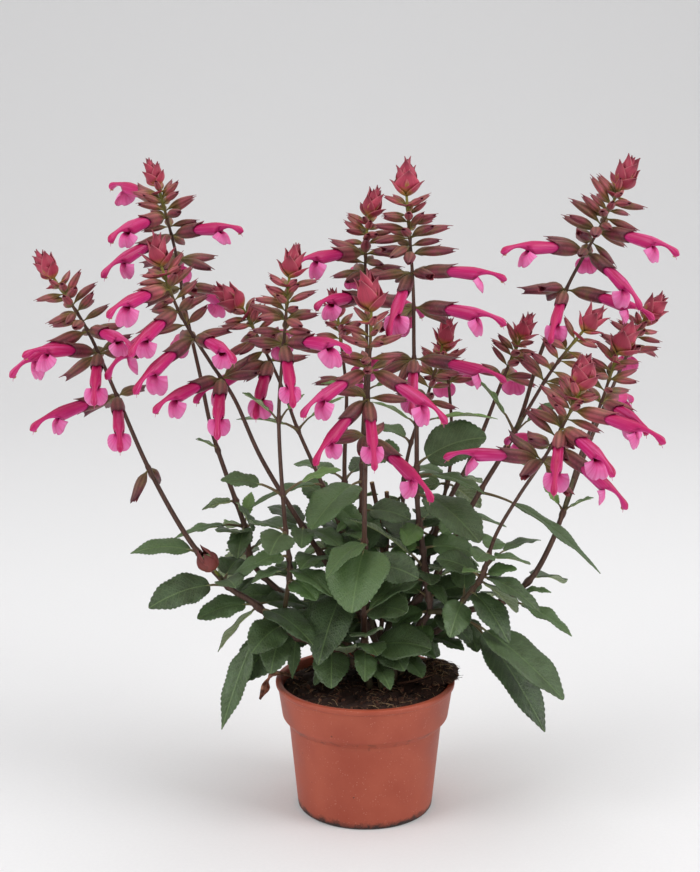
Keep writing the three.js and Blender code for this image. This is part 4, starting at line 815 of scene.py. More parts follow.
class Form:
    """Gathers the corners, faces and painted values of one piece, body by body.

    Four values are painted on every corner for the materials: run, along an organ; cross, across
    it; tone, which differs from organ to organ; and edge, which each kind uses in its own way.
    """

    PAINTS = ("run", "cross", "tone", "edge")

    def __init__(self):
        self.corners, self.faces, self.slots = [], [], []
        self.painted = {paint: [] for paint in self.PAINTS}
        self.count = 0

    def grid(self, places, **paints):
        """Adds rows of corners with their painted values, and returns their numbers."""
        rows, columns = places.shape[:2]
        self.corners.append(places.reshape(-1, 3))
        for paint in self.PAINTS:
            value = np.broadcast_to(paints.get(paint, 0.0), (rows, columns))
            self.painted[paint].append(value.reshape(-1))
        numbers = self.count + np.arange(rows * columns).reshape(rows, columns)
        self.count += rows * columns
        return numbers

    def add(self, faces, slot):
        self.faces.extend(faces)
        self.slots.extend([slot] * len(faces))

    def skin(self, numbers, slot=0, around=False, flip=False):
        """Faces between neighbouring rows of corners. Flipped ones face the other way."""
        if around:
            numbers = np.hstack([numbers, numbers[:, :1]])
        corners = [numbers[:-1, :-1], numbers[:-1, 1:], numbers[1:, 1:], numbers[1:, :-1]]
        quads = np.stack(corners, axis=-1).reshape(-1, 4)
        self.add((quads[:, ::-1] if flip else quads).tolist(), slot)

    def cap(self, ring, slot=0, flip=False):
        self.add([(ring[::-1] if flip else ring).tolist()], slot)

    def tube(self, rings, slot=0, flip=False, **paints):
        """A closed body through rings of corners."""
        numbers = self.grid(rings, **paints)
        self.skin(numbers, slot, around=True, flip=flip)
        self.cap(numbers[0], slot, flip=not flip)
        self.cap(numbers[-1], slot, flip=flip)
        return numbers

    def plate(self, upper, lower, slots, flip=False, **paints):
        """A thin closed body between two grids of corners, which share their edges' rows."""
        top, under = self.grid(upper, **paints), self.grid(lower, **paints)
        self.skin(top, slots[0], flip=flip)
        self.skin(under, slots[1], flip=not flip)
        around = [
            np.stack([top[0], under[0]]), np.stack([top[:, -1], under[:, -1]]),
            np.stack([top[-1], under[-1]])[:, ::-1], np.stack([top[:, 0], under[:, 0]])[:, ::-1],
        ]
        for strip in around:
            self.skin(strip, slots[0], flip=not flip)

    def body(self, name, materials):
        """Makes an object of what was gathered."""
        mesh = bpy.data.meshes.new(name)
        mesh.from_pydata((np.concatenate(self.corners) * MM).tolist(), [], self.faces)
        for material in materials:
            mesh.materials.append(material)
        mesh.polygons.foreach_set("material_index", self.slots)
        mesh.polygons.foreach_set("use_smooth", [True] * len(self.faces))
        for paint, values in self.painted.items():
            layer = mesh.attributes.new(paint, "FLOAT", "POINT")
            layer.data.foreach_set("value", np.concatenate(values).astype(np.float32))
        mesh.update()
        made = bpy.data.objects.new(name, mesh)
        bpy.context.scene.collection.objects.link(made)
        return made

    def piece(self, name, materials, node):
        """Makes a piece of the plant, which stands for a node and takes its finish from a slot."""
        made = self.body(name, materials)
        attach(made, "root")
        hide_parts(node)
        return made


def around(sides, phase=0.0):
    return phase + 2 * np.pi * np.arange(sides) / sides


def shifted(places, *shifts):
    """Places moved along some directions, each by its own distances."""
    for way, distance in shifts:
        places = places + way * np.asarray(distance)[..., None]
    return places


def ringed(points, axes, radii, turn):
    """A ring of corners round each point of a line, of half a width and half a height."""
    (across, over), (wide, high) = axes, radii
    return shifted(
        points[:, None], (across[..., None, :], wide[:, None] * np.cos(turn)),
        (over[..., None, :], high[:, None] * np.sin(turn)),
    )


def stem_axes(run):
    """The two directions across a stem at each point of its run."""
    ahead = unit(np.gradient(run, axis=0))
    across = unit(np.cross([0.0, 1.0, 0.0], ahead))
    return across, np.cross(ahead, across)


def hose(form, line, radius, sides, slot, **paints):
    """A round thread, stalk or fibre along a line."""
    ahead = unit(np.gradient(line, axis=0))
    aside = np.eye(3)[np.argmin(np.abs(line[-1] - line[0]))]
    across = unit(np.cross(aside, ahead))
    axes, radius = (across, np.cross(ahead, across)), np.broadcast_to(radius, len(line))
    return form.tube(ringed(line, axes, (radius, radius), around(sides)), slot, **paints)


def square_stem(form, run, radii, slot, height_paint, swellings=()):
    """A sage's stem is square with rounded corners, and swells where leaves and rings leave it."""
    walked = travelled(run)
    even = np.linspace(0, walked[-1], max(3, int(walked[-1] / STEM_RING_STEP)))
    radii = np.interp(even, walked, radii)
    points = pick(run, walked, even)
    for at, height, reach in swellings:
        radii = radii * (1 + height * np.exp(-(((even - at) / reach) ** 2)))
    across, over = stem_axes(points)
    turn = around(STEM_SIDES, np.pi / 4)
    rounds = radii[:, None] * (1 - STEM_FLATNESS - STEM_FLATNESS * np.cos(4 * turn))
    corners = shifted(
        points[:, None], (across[:, None], rounds * np.cos(turn)),
        (over[:, None], rounds * np.sin(turn)),
    )
    # cross marks the corners, which the stem's skin paints lighter as a painted highlight
    form.tube(corners, slot, run=height_paint(even)[:, None], cross=np.cos(4 * turn), tone=0.5)


def leaf_columns(width):
    if width > WIDE_LEAF:
        return np.array([-1, -0.86, -0.64, -0.4, -0.16, 0, 0.16, 0.4, 0.64, 0.86, 1])
    return np.array([-1, -0.72, -0.34, 0, 0.34, 0.72, 1])


def grow_leaf(form, leaf, sizes, random):
    """A blade with a toothed edge, sunken veins and waved margins, and its stalk and rib below."""
    pitch, depth = sizes.tooth_pitch / MM, sizes.tooth_depth / MM
    blade = leaf["length"] * (1 - leaf["stalk"])
    vein_gap = min(sizes.vein_spacing / MM, blade / 7)
    tone = 0.4 * random.uniform(0, 1) + 0.4 * smooth_step((27 - leaf["width"]) / 18)
    tone = tone + 0.2 * smooth_step((leaf["base"][2] - 140) / 80)
    teeth = max(6, round(blade / (pitch * min(1, 0.55 + leaf["width"] / 60))))
    rows = teeth * len(TOOTH) + 1
    t = np.linspace(0, 0.996, rows)
    share = leaf["stalk"] + (1 - leaf["stalk"]) * t
    point, forward, side, face = leaf_frame(leaf, share)
    twist = math.radians(random.uniform(-12, 12)) * t[:, None]
    turned = side * np.cos(twist) + face * np.sin(twist)
    side, face = turned, face * np.cos(twist) - side * np.sin(twist)
    # A broad blade is a blunt oval, and a narrow one is pointed, more so at its tip
    slender = smooth_step((blade / leaf["width"] - 1.4) / 1.2)
    fullness = lerp(BLADE["broad"], BLADE["narrow"], slender)
    outline = np.sin(np.pi * t ** BLADE["widest_near"]) ** (fullness * (0.85 + 0.35 * t))
    half = np.maximum(0.5 * leaf["width"] * outline, 0.4)[:, None]
    c = leaf_columns(leaf["width"])
    t = t[:, None]
    cut = np.resize(TOOTH, rows)[:, None] - 0.5
    cut = cut * depth * np.minimum(1, half / 5) * smooth_step((t - 0.06) / 0.1)
    reach = half * c + np.sign(c) * np.abs(c) ** 12 * cut
    vein = (t * blade - VEIN_SLANT * np.abs(reach)) / vein_gap
    height = LEAF["fold"] * half * (1.9 * np.abs(c) - 1.25 * c**2)
    height = height - MIDRIB_DEPTH * np.exp(-((reach / 0.9) ** 2)) * smooth_step(half / 3)
    between = 4 * np.abs(c) * (1 - np.abs(c))
    height = height - VEIN_DEPTH * np.maximum(np.cos(2 * np.pi * vein), 0) ** 3 * between
    waves = t * random.uniform(1.6, 2.6) + random.uniform(0, 1) + 0.5 * (c > 0)
    waves = np.sin(2 * np.pi * waves) * np.minimum(1, half / 8) * c**2 * np.sin(np.pi * t) ** 0.5
    height = height + sizes.wave / MM * waves
    upper = shifted(
        point[:, None], (side[:, None], reach), (face[:, None], height),
        (forward[:, None], 0.25 * np.abs(c) ** 12 * cut),
    )
    lower = upper - face[:, None] * sizes.thickness / MM
    form.plate(
        upper, lower, (LEAF_UPPER, LEAF_UNDER), flip=True, run=t * blade / vein_gap,
        cross=reach / vein_gap, tone=tone, edge=np.abs(c),
    )
    t = np.linspace(0, RIB_REACH, max(12, int(leaf["length"] / 3)))
    point, _, _, face = leaf_frame(leaf, t)
    in_blade = smooth_step((t - leaf["stalk"] * 0.9) / 0.1)
    radius = np.interp(t, [0, leaf["stalk"] + 0.02, RIB_REACH], [1.15, 0.8, 0.22])
    radius = radius * (1 if leaf["width"] > 12 else 0.75)
    radius = radius + 0.9 * np.exp(-((t * leaf["length"] / 2) ** 2))
    sunk = MIDRIB_DEPTH + sizes.thickness / MM + radius * 0.5
    point = point - face * (in_blade * sunk)[:, None]
    hose(form, point, radius, 7, LEAF_STALK, run=in_blade[:, None], tone=tone)


def round_organ(organ, distance, turn, width, height, raise_by):
    """Places round an organ's line, by half its width and height, raised above its line."""
    size = organ["size"]
    point, _, over, across = on_arc(organ, distance * size)
    return shifted(
        point, (across, width * np.cos(turn) * size),
        (over, (height * np.sin(turn) + raise_by) * size),
    )


def bell(form, organ, slots, profile, lengths, start, sides, wall, **paints):
    """A hollow bell whose mouth is cut to a length for each direction, with its inner wall."""
    turn = around(sides)
    mouth = lengths(turn)
    distance = start + np.array(BELL_ROWS)[:, None] * (mouth - start)
    inner = mouth + np.array(INNER_ROWS)[:, None]
    stalk = np.array(profile["stalk"])[:, None] + 0 * turn
    distance = np.vstack([stalk, distance, inner])
    thick = np.zeros(len(distance))
    thick[-len(inner) :] = wall
    half_w, half_h, raise_by = profile["shape"](distance, turn)
    rib = 1 + profile["rib"] * np.cos(sides / 2 * turn) * smooth_step((distance - start) / 6)
    half_w, half_h = half_w * rib - thick[:, None], half_h * rib - thick[:, None]
    places = round_organ(organ, distance, turn, half_w, half_h, raise_by)
    run = np.clip((distance - start) / (mouth - start), 0, 1)
    # edge is highest on the ribs and lowest in the grooves, which the calyx's skin paints darker as
    # shade
    numbers = form.grid(
        places, run=run, cross=np.sin(turn) + 0 * run,
        edge=0.5 + 0.5 * np.cos(sides / 2 * turn) + 0 * run, **paints,
    )
    outer = len(numbers) - len(inner)
    form.skin(numbers[:outer], slots[0], around=True, flip=True)
    form.skin(numbers[outer - 1 :], slots[1], around=True, flip=True)
    form.cap(numbers[0], slots[0])
    form.cap(numbers[-1], slots[1], flip=True)


def calyx_mouth(state):
    """The two-lipped mouth: one long tooth above, two below, and a bay at each side."""
    turns, reach = np.radians(CALYX_MOUTH["turns"]), CALYX_MOUTH[state]
    return lambda turn: np.interp(np.arcsin(np.clip(np.sin(turn), -1, 1)), turns, reach)


def calyx_shape(state):
    """Half the width and height of the calyx, and how far it bends up, by distance."""
    drawn = CALYX_IN_BUD if state == "bud" else CALYX_IN_FLOWER

    def shape(distance, turn):
        width = flow(distance, CALYX_AT, drawn["width"])
        height = flow(distance, CALYX_AT, drawn["height"])
        if state == "spent":
            width = width * np.interp(distance, PINCH["at"], PINCH["width"])
            height = height * np.interp(distance, PINCH["at"], PINCH["height"])
        raise_by = 1.2 if state == "bud" else np.where(np.sin(turn) > 0, 1.8, 0.2)
        return width, height, raise_by * np.clip((distance - 20) / 13, 0, 2) ** 2

    return shape


def grow_calyx(form, organ, sizes):
    """A downy ribbed calyx on its thin stalk: closed in bud, and pinched once its flower fell."""
    seed = int(organ["name"]) * 1000 + int(organ["ring"] * 10) + organ["face"]
    state = "flower" if organ["open"] else "bud"
    if state == "bud" and organ["ring"] + 1.4 * (chance(seed + 77) - 0.5) > SPENT_RING:
        state = "flower" if chance(seed + 78) < SPENT_STILL_OPEN else "spent"
    if not organ["open"]:
        gain = 1 + YOUNG_CALYX_GAIN * max(0, 1 - organ["ring"] / 4)
        gain = gain * lerp(0.88, 1.1, chance(seed + 41))
        organ = {
            **organ, "size": organ["size"] * gain, "length": organ["length"] * gain,
            "bend": organ["bend"] + CALYX_STRAY * (chance(seed + 42) - 0.35),
            "rise": organ["rise"] + CALYX_STRAY * (chance(seed + 43) - 0.5),
            "heading": organ["heading"] + CALYX_STRAY * (chance(seed + 44) - 0.5),
        }
    profile = {"stalk": [0.4, 2.0, 3.4], "rib": sizes.rib_relief, "shape": calyx_shape(state)}
    bell(
        form, organ, (CALYX_SKIN, CALYX_LINING), profile, calyx_mouth(state), 4.4,
        12 if state == "bud" else 16, sizes.calyx_wall / MM,
        tone=0.65 * min(1, organ["ring"] / 3.5) + 0.35 * chance(seed + 31),
    )


def tube_shape(distance, turn):
    width = flow(distance, TUBE["at"], TUBE["width"])
    height = flow(distance, TUBE["at"], TUBE["height"])
    return width, height, np.clip((distance - 34) / 16, 0, 1.5) * 0.6


def tube_mouth(turn):
    """The throat opens below the hood: its edge runs from the lower lip forward and up."""
    return 46 + 3 * (np.sin(turn) + 1)


def grow_hood(form, organ, tone):
    """The upper lip narrows to a slender neck and ends in a blunt tip, with threads at its end."""
    size = organ["size"]
    distance = np.array(HOOD_ROWS)
    height = flow(distance, HOOD["at"], HOOD["height"])
    width = flow(distance, HOOD["at"], HOOD["width"])
    top = flow(distance, HOOD["at"], HOOD["top"])
    point, _, over, across = on_arc(organ, distance * size)
    centre = shifted(point, (over, (top - height) * size))
    turn = around(12, np.pi / 12)
    rings = ringed(centre, (across, over), (width * size, height * size), turn)
    run = (distance / FLOWER["reach"])[:, None]
    form.tube(rings, PETAL, flip=True, run=run, cross=np.sin(turn), tone=tone)
    _, ahead, up, aside = on_arc(organ, distance[-4] * size)
    tip = centre[-4] - up * (2.1 * size)
    steps = np.linspace(0, 1, 6)[:, None]
    thread = tip + ahead * 2.4 * steps - up * (0.6 * steps + 1.2 * steps**2)
    hose(form, thread, np.linspace(0.28, 0.14, 6), 5, STAMEN, tone=0.1)
    for way in (-1, 1):
        grain = tip + aside * (0.7 * way) + ahead * np.linspace(-1.3, 0.7, 6)[:, None] - up * 0.5
        bulge = np.sqrt(np.maximum(1 - np.linspace(-0.96, 0.96, 6) ** 2, 0)) * 0.55
        hose(form, grain, bulge, 6, STAMEN, tone=0.9)


def grow_lip(form, organ, sizes, seed, tone):
    """The lower lip spreads round and bib-like from the throat, with a notch between two lobes."""
    size, spread = organ["size"], lerp(0.76, 1.02, chance(seed + 8))
    throat, hang, across, front = lip_frame(organ, lerp(0.45, 0.8, chance(seed + 9)))
    u = np.linspace(0, 1, 11)[:, None]
    c = np.linspace(-1, 1, 17)
    angle = np.radians(LIP["half_angle"]) * c
    reach = u * spread * flow(np.abs(c), LIP["at"], LIP["reach"])
    bulge = 1.7 * np.sin(np.pi * u) - 2.6 * c**2 * u - 1.4 * u**3
    bulge = bulge + 0.5 * u**1.5 * np.sin(10 * c + 6 * chance(seed)) * np.abs(c)
    fan = shifted(
        throat, (hang, (1.5 + reach * np.cos(angle)) * size),
        (across, reach * np.sin(angle) * size), (front, bulge * size),
    )
    turn = np.radians(-90 + 84 * c) + 0 * u
    distance = tube_mouth(turn) - 1.2
    width, height, raise_by = tube_shape(distance, turn)
    root = round_organ(organ, distance, turn, width - 0.15, height - 0.15, raise_by)
    blend = smooth_step(u / 0.5)[..., None]
    upper = root * (1 - blend) + fan * blend
    lower = upper - front * sizes.petal_thickness / MM
    form.plate(upper, lower, (LIP_PETAL, LIP_PETAL), run=u, cross=c, tone=tone, edge=1.0)


def grow_corolla(form, organ, sizes):
    """An open flower: a tube that widens to the throat, a hood, a lower lip and its threads."""
    seed = int(organ["name"]) * 100 + organ["ring"] * 10 + organ["face"]
    tone = chance(seed + 5)
    profile = {"stalk": [20.5], "rib": sizes.rib_relief * 0.5, "shape": tube_shape}
    wall = sizes.petal_thickness / MM
    bell(form, organ, (PETAL, THROAT), profile, tube_mouth, 21.5, 18, wall, tone=tone)
    grow_hood(form, organ, tone)
    grow_lip(form, organ, sizes, seed, tone)


def grow_bract(form, base, lean, out, angles, length, width, cup, tone, slot):
    """A pointed bract, cupped round the bud, whose fine tip bends out again."""
    t = np.linspace(0, 1, 12)[:, None]
    angle = np.radians(flow(t, [0, 0.35, 0.75, 1], angles))
    ahead = np.cos(angle) * lean + np.sin(angle) * out
    step = 0.5 * (ahead[1:] + ahead[:-1]) * length / (len(t) - 1)
    rib = base + np.vstack([np.zeros(3), np.cumsum(step, axis=0)])
    outward = np.cos(angle) * out - np.sin(angle) * lean
    half = 0.5 * width * flow(t, BRACT["at"], BRACT["width"])
    c = np.linspace(-1, 1, 9)
    aside = half * c * (1 - 0.3 * cup * c**2)
    raised = 0.25 * np.exp(-((c / 0.14) ** 2)) * half / np.max(half) - 0.62 * cup * half * c**2
    outer = shifted(rib[:, None], (unit(np.cross(lean, out)), aside), (outward[:, None], raised))
    inner = outer - outward[:, None] * BRACT_THICKNESS
    form.plate(outer, inner, (slot, slot), run=t, cross=c, tone=tone, edge=np.abs(c))


def grow_cone(form, name, run, random, slot, core_slot):
    """The bracts at a spike's top: pairs that stand crosswise, the lower ones spreading."""
    base, lean = run["base"], run["lean"]
    across = unit(np.cross([0.0, 1.0, 0.0], lean))
    over = np.cross(lean, across)
    closed = "bud" in SPIKES[name]
    turned = math.radians(SPIKES[name]["spin"]) + random.uniform(0, 0.6)
    wide, high = CONE_SCALES[name]
    for tier, (at, angles, length, width, cup) in enumerate(BUD_TIERS if closed else CONE_TIERS):
        for way in (0, 1):
            turn = turned + math.pi * way + tier * math.pi / 2 + random.uniform(-0.2, 0.2)
            out = across * math.cos(turn) + over * math.sin(turn)
            lean_by = random.uniform(-2, 2) if closed else random.uniform(-6, 6)
            grow_bract(
                form, base + lean * at * high + out * 0.5, lean, out,
                [angle + lean_by for angle in angles], length * high * random.uniform(0.9, 1.06),
                width * wide * random.uniform(0.92, 1.08), cup, random.uniform(0, 1), slot,
            )
    length, radius = (13, 6.4) if closed else (20 * high, 3.2 * wide)
    t = np.linspace(0, 1, 9)
    core = base + lean * (t * length)[:, None]
    swell = radius * np.sqrt(np.maximum(np.sin(np.pi * np.clip(t * 0.94 + 0.05, 0, 1)), 0.01))
    hose(form, core, swell, 10, core_slot, run=t[:, None], tone=0.5)


def inside_radius(z, pot):
    """The pot's inside radius at a height, below the rounded rim."""
    wall, top = pot.wall / MM, pot.height / MM - POT_LIP["rounding"]
    heights = [0, POT_SHOULDER, POT_COLLAR["bottom"] + wall, top]
    radii = [
        pot.base_radius / MM - wall, POT_BODY_TOP - wall, POT_COLLAR["radius"] - wall,
        pot.rim_radius / MM - POT_LIP["width"],
    ]
    return np.interp(z, heights, radii)


def rounded(profile, corners):
    """A profile with some of its corners rounded: for each corner's number, its radius."""
    points = [np.array(p, float) for p in profile]
    drawn = []
    for i, point in enumerate(points):
        radius = corners.get(i)
        if radius is None:
            drawn.append(point)
            continue
        back, ahead = unit(points[i - 1] - point), unit(points[i + 1] - point)
        for t in np.linspace(0, 1, 5):
            drawn.append(point + back * radius * (1 - t) ** 2 + ahead * radius * t**2)
    return np.array(drawn)


def lathe(profile, sides):
    """Rings of corners round the pot's axis, for each point of a profile of radius and height."""
    turn = around(sides)
    radius, height = profile[:, 0, None], profile[:, 1, None]
    return np.stack([radius * np.cos(turn), radius * np.sin(turn), height + 0 * turn], axis=-1)


def crumb(form, at, radius, random, slot):
    """A crumb of compost: a dented lump, sunk a little into what it lies on."""
    stretch = random.uniform(0.55, 1.3, 3)
    spin = np.linalg.qr(random.normal(size=(3, 3)))[0]
    if np.linalg.det(spin) < 0:
        spin[:, 0] *= -1
    lump = lathe(CRUMB, 5) * random.uniform(0.75, 1.25, (3, 5, 1))
    places = at + (lump * stretch * radius) @ spin.T
    form.tube(places, slot, tone=random.uniform(0, 1), run=random.uniform(0, 1))


def fibre(form, at, length, radius, random, slot):
    """A bent thread of root or coir that lies on the compost."""
    heading, bend = random.uniform(0, 2 * np.pi), random.uniform(-0.9, 0.9)
    steps = np.linspace(-0.5, 0.5, 7)
    turned = heading + bend * steps
    plan = np.stack([np.cos(turned), np.sin(turned)], axis=1) * length / len(steps)
    places = np.zeros((7, 3))
    places[:, :2] = np.cumsum(plan, axis=0) - plan.sum(axis=0) / 2
    places[:, 2] = random.uniform(-0.05, 0.16) * length * (1 - (2 * steps) ** 2) + 0.3
    hose(form, at + places, radius, 4, slot, tone=random.uniform(0, 1) ** 2)


def linear(colour):
    """The linear colour, with alpha, of an sRGB hex value. Other colours are linear already."""
    if not isinstance(colour, str):
        return (*colour[:3], 1.0)
    parts = [int(colour[i : i + 2], 16) / 255 for i in (1, 3, 5)]
    return (*[p / 12.92 if p <= 0.04045 else ((p + 0.055) / 1.055) ** 2.4 for p in parts], 1.0)


def add_node(tree, kind, sockets, stops=(), **settings):
    """Adds a node with its settings, a ramp's stops, and its sockets' values or links.

    A node given for a socket stands for its first output in use, and a hex value for its colour.
    """
    node = tree.nodes.new("ShaderNode" + kind)
    for name, value in settings.items():
        setattr(node, name, value)
    for number, (position, colour) in enumerate(stops):
        elements = node.color_ramp.elements
        element = elements[number] if number < 2 else elements.new(1.0)
        element.position, element.color = position, linear(colour)
    for name, value in sockets.items():
        if isinstance(value, bpy.types.Node):
            value = next(output for output in value.outputs if output.enabled)
        if isinstance(value, bpy.types.NodeSocket):
            tree.links.new(value, node.inputs[name])
        else:
            node.inputs[name].default_value = linear(value) if isinstance(value, str) else value
    return node


def finish(name, shade):
    """The material of that name. Its nodes and its shader's sockets come from shade, once."""
    made = bpy.data.materials.get(name)
    if made is None:
        made = bpy.data.materials.new(name)
        made.use_nodes = True
        made.node_tree.nodes.clear()
        node = functools.partial(add_node, made.node_tree)
        node("OutputMaterial", {"Surface": node("BsdfPrincipled", shade(node))})
    return made


def painted(node):
    """The values that Form paints, which are run, cross, tone and edge, and the place."""
    values = [node("Attribute", {}, attribute_name=paint).outputs["Fac"] for paint in Form.PAINTS]
    return *values, node("TexCoord", {}).outputs["Object"]


def tinted(node, base, tint, by, low, high, most):
    """The base with a tint mixed in: none where a value is low, and the most where it is high."""
    share = node("MapRange", {0: by, 1: low, 2: high, 4: most})
    return node("Mix", {0: share, 6: base, 7: tint}, data_type="RGBA")


def dimmed(node, base, by, low, high, least, most):
    """The base made darker or lighter: the least where a value is low, the most where high."""
    value = node("MapRange", {0: by, 1: low, 2: high, 3: least, 4: most})
    return node("HueSaturation", {"Value": value, "Color": base})


def drawn_out(node, vector, scale, detail=3):
    """Noise drawn out into streaks, by a scale for each direction."""
    drawn = node("Mapping", {"Vector": vector, "Scale": scale})
    return node("TexNoise", {"Vector": drawn, "Scale": 1, "Detail": detail})


def moulded_polypropylene(node):
    """Injection-moulded polypropylene: dull terracotta, faintly pebbled, dusty, soil-stained, with
    painted shade low down.
    """
    *_, place = painted(node)
    height = node("SeparateXYZ", {0: place}).outputs["Z"]
    # Mottling of the dusted surface, in patches of about 22 mm
    patches = node("TexNoise", {"Vector": place, "Scale": 45, "Detail": 5})
    pot = bpy.context.scene.sage_colours.pot
    dusty = node("ValToRGB", {0: patches}, stops=[(0.35, pot), (0.7, "#AC5139")])
    # Dust specks, drawn about 1 mm across so that they show
    specks = node("TexVoronoi", {"Vector": place, "Scale": 520})
    speck = node("MapRange", {0: specks, 1: 0.12, 2: 0.24, 3: 1, 4: 0})
    sparse = node("TexNoise", {"Vector": place, "Scale": 130, "Detail": 2})
    few = node("MapRange", {0: sparse, 1: 0.45, 2: 0.62, 4: 0.6})
    spotted = node("Math", {0: speck, 1: few}, operation="MULTIPLY")
    specked = node("Mix", {0: spotted, 6: dusty, 7: "#C98C76"}, data_type="RGBA")
    # Crumbs of soil stuck to the wall, 1.4 mm across and some 9 mm apart
    crumbs = node("TexVoronoi", {"Vector": place, "Scale": 110})
    stuck = node("MapRange", {0: crumbs, 1: 0.06, 2: 0.09, 3: 1, 4: 0})
    rare = node("MapRange", {0: sparse, 1: 0.56, 2: 0.6, 4: 0.7})
    flecks = node("Math", {0: stuck, 1: rare}, operation="MULTIPLY")
    # Soil clings at the foot and under the collar's step, and both bands are also darkened as
    # painted shade: a painted contact shadow at the foot and painted shade under the step
    at_foot = node("MapRange", {0: height, 1: 0.0012, 2: 0.0085, 3: 1, 4: 0})
    at_step = node("MapRange", {0: height, 1: 0.056, 2: 0.066, 4: 0.4})
    below = node("Math", {0: height, 1: 0.068}, operation="LESS_THAN")
    step = node("Math", {0: at_step, 1: below}, operation="MULTIPLY")
    both = node("Math", {0: at_foot, 1: step}, operation="MAXIMUM")
    smears = node("TexNoise", {"Vector": place, "Scale": 95, "Detail": 8, "Roughness": 0.75})
    smeared = node("MapRange", {0: smears, 1: 0.44, 2: 0.64})
    caked_soil_and_shade = node("Math", {0: both, 1: 2, 2: smeared}, operation="MULTIPLY_ADD")
    soil_and_shade = node("MapRange", {0: caked_soil_and_shade, 1: 1.1, 2: 2.2})
    dirt_and_shade = node("Math", {0: soil_and_shade, 1: flecks}, operation="MAXIMUM")
    # The dark brown is soil, and painted shade at the foot and under the collar's step
    colour = node("Mix", {0: dirt_and_shade, 6: specked, 7: "#2C1A14"}, data_type="RGBA")
    rough = node("MapRange", {0: patches, 1: 0.3, 2: 0.7, 3: 0.42, 4: 0.58})
    pebble = node("TexNoise", {"Vector": place, "Scale": 900, "Detail": 2})
    bump = node("Bump", {"Height": pebble, "Strength": 0.12, "Distance": 0.0004})
    return {
        "Base Color": colour, "Roughness": rough, "IOR": 1.49, "Normal": bump,
    }


def peat_compost(node):
    """Moist peat compost, crumbled by hand: nearly black, with brown crumbs, and quite dull."""
    *_, tone, _, place = painted(node)
    # Crumbs within crumbs, of about 3 mm and less
    grain = node("TexNoise", {"Vector": place, "Scale": 330, "Detail": 9, "Roughness": 0.75})
    mixed = node("Math", {0: grain, 1: tone}, operation="ADD")
    shade = node("MapRange", {0: mixed, 1: 0.35, 2: 1.5})
    colour = node("ValToRGB", {0: shade}, stops=[
        (0, "#120A06"), (0.3, "#2A1710"), (0.58, "#452A1E"), (0.85, "#6A4534"), (1, "#86644C"),
    ])
    bump = node("Bump", {"Height": grain, "Strength": 0.9, "Distance": 0.0012})
    return {
        "Base Color": colour, "Roughness": 0.92, "IOR": 1.45, "Normal": bump,
    }


def dull_tissue(stops, scale, relief, rough):
    """Dry or powdery plant matter, mottled by its own grain, with a painted highlight on its ridges.
    """

    def shade(node):
        *_, tone, _, place = painted(node)
        grain = node("TexNoise", {"Vector": place, "Scale": scale, "Detail": 5})
        # The grain that raises the ridges also lightens them: its own mottling, and a painted
        # highlight on the ridges
        mixed = node("Math", {0: grain, 1: 0.8, 2: tone}, operation="MULTIPLY_ADD")
        colour = node("ValToRGB", {0: mixed}, stops=stops)
        bump = node("Bump", {"Height": grain, "Strength": 0.6, "Distance": relief})
        return {
            "Base Color": colour, "Roughness": rough, "IOR": 1.45, "Normal": bump,
        }

    return shade


# Dry root and coir threads, as they come out of the bale: red-brown to straw, dull
plant_fibre = dull_tissue(
    [(0.4, "#2A170F"), (0.65, "#513122"), (0.88, "#745238"), (1, "#9C8060")], 1400, 0.0003, 0.8
)
# The cut end of a dry stem: straw-coloured pith, rough
cut_pith = dull_tissue(
    [(0.28, "#8A6B48"), (0.4, "#B99A6C"), (0.52, "#D2BC8E")], 1500, 0.0003, 0.85
)
# A leaf dried on the rim: brown, crumpled in folds of some 4 mm, and papery
dried_leaf = dull_tissue(
    [(0.28, "#44261A"), (0.4, "#7A4C38"), (0.52, "#AE8068")], 260, 0.0012, 0.7
)
# Threads and pollen sacs at the hood's tip: pale pink to ochre, powdery
stamen_tissue = dull_tissue([(0.5, "#D0689A"), (1, "#B98A60")], 2500, 0.0002, 0.7)


def smooth_lining(shaded_deep, mouth):
    """The inside of a calyx or a flower's tube: smooth, streaked, and painted darker where it is
    deep, as shade.
    """

    def shade(node):
        run, *_, place = painted(node)
        # Painted shade: the lining darkens from its mouth towards where it is deep
        colour = node("ValToRGB", {0: run}, stops=[(0.6, shaded_deep), (1, mouth)])
        streaks = node("TexNoise", {"Vector": place, "Scale": 550, "Detail": 3})
        shaded = dimmed(node, colour, streaks, 0.3, 0.7, 0.75, 1.2)
        return {"Base Color": shaded, "Roughness": 0.5, "IOR": 1.42}

    return shade


def vein_lines(node, run, cross, side, small):
    """The distances to the midrib and the small veins, and the lines of side and small veins.

    The width and the strength of each kind of line are given.
    """
    aside = node("Math", {0: cross}, operation="ABSOLUTE")
    slanted = node("Math", {0: aside, 1: -VEIN_SLANT, 2: run}, operation="MULTIPLY_ADD")
    vein = node("Math", {0: slanted, 1: 0.5}, operation="PINGPONG")
    plan = node("CombineXYZ", {0: run, 1: cross})
    # Three small meshes between two side veins, which are 4 to 5 mm apart
    net = node("TexVoronoi", {"Vector": plan, "Scale": 2.6}, feature="DISTANCE_TO_EDGE")
    side_vein = node("MapRange", {0: vein, 1: 0.02, 2: side[0], 3: side[1], 4: 0})
    small_vein = node("MapRange", {0: net, 2: small[0], 3: small[1], 4: 0})
    lines = node("Math", {0: side_vein, 1: small_vein}, operation="MAXIMUM")
    return aside, net, lines


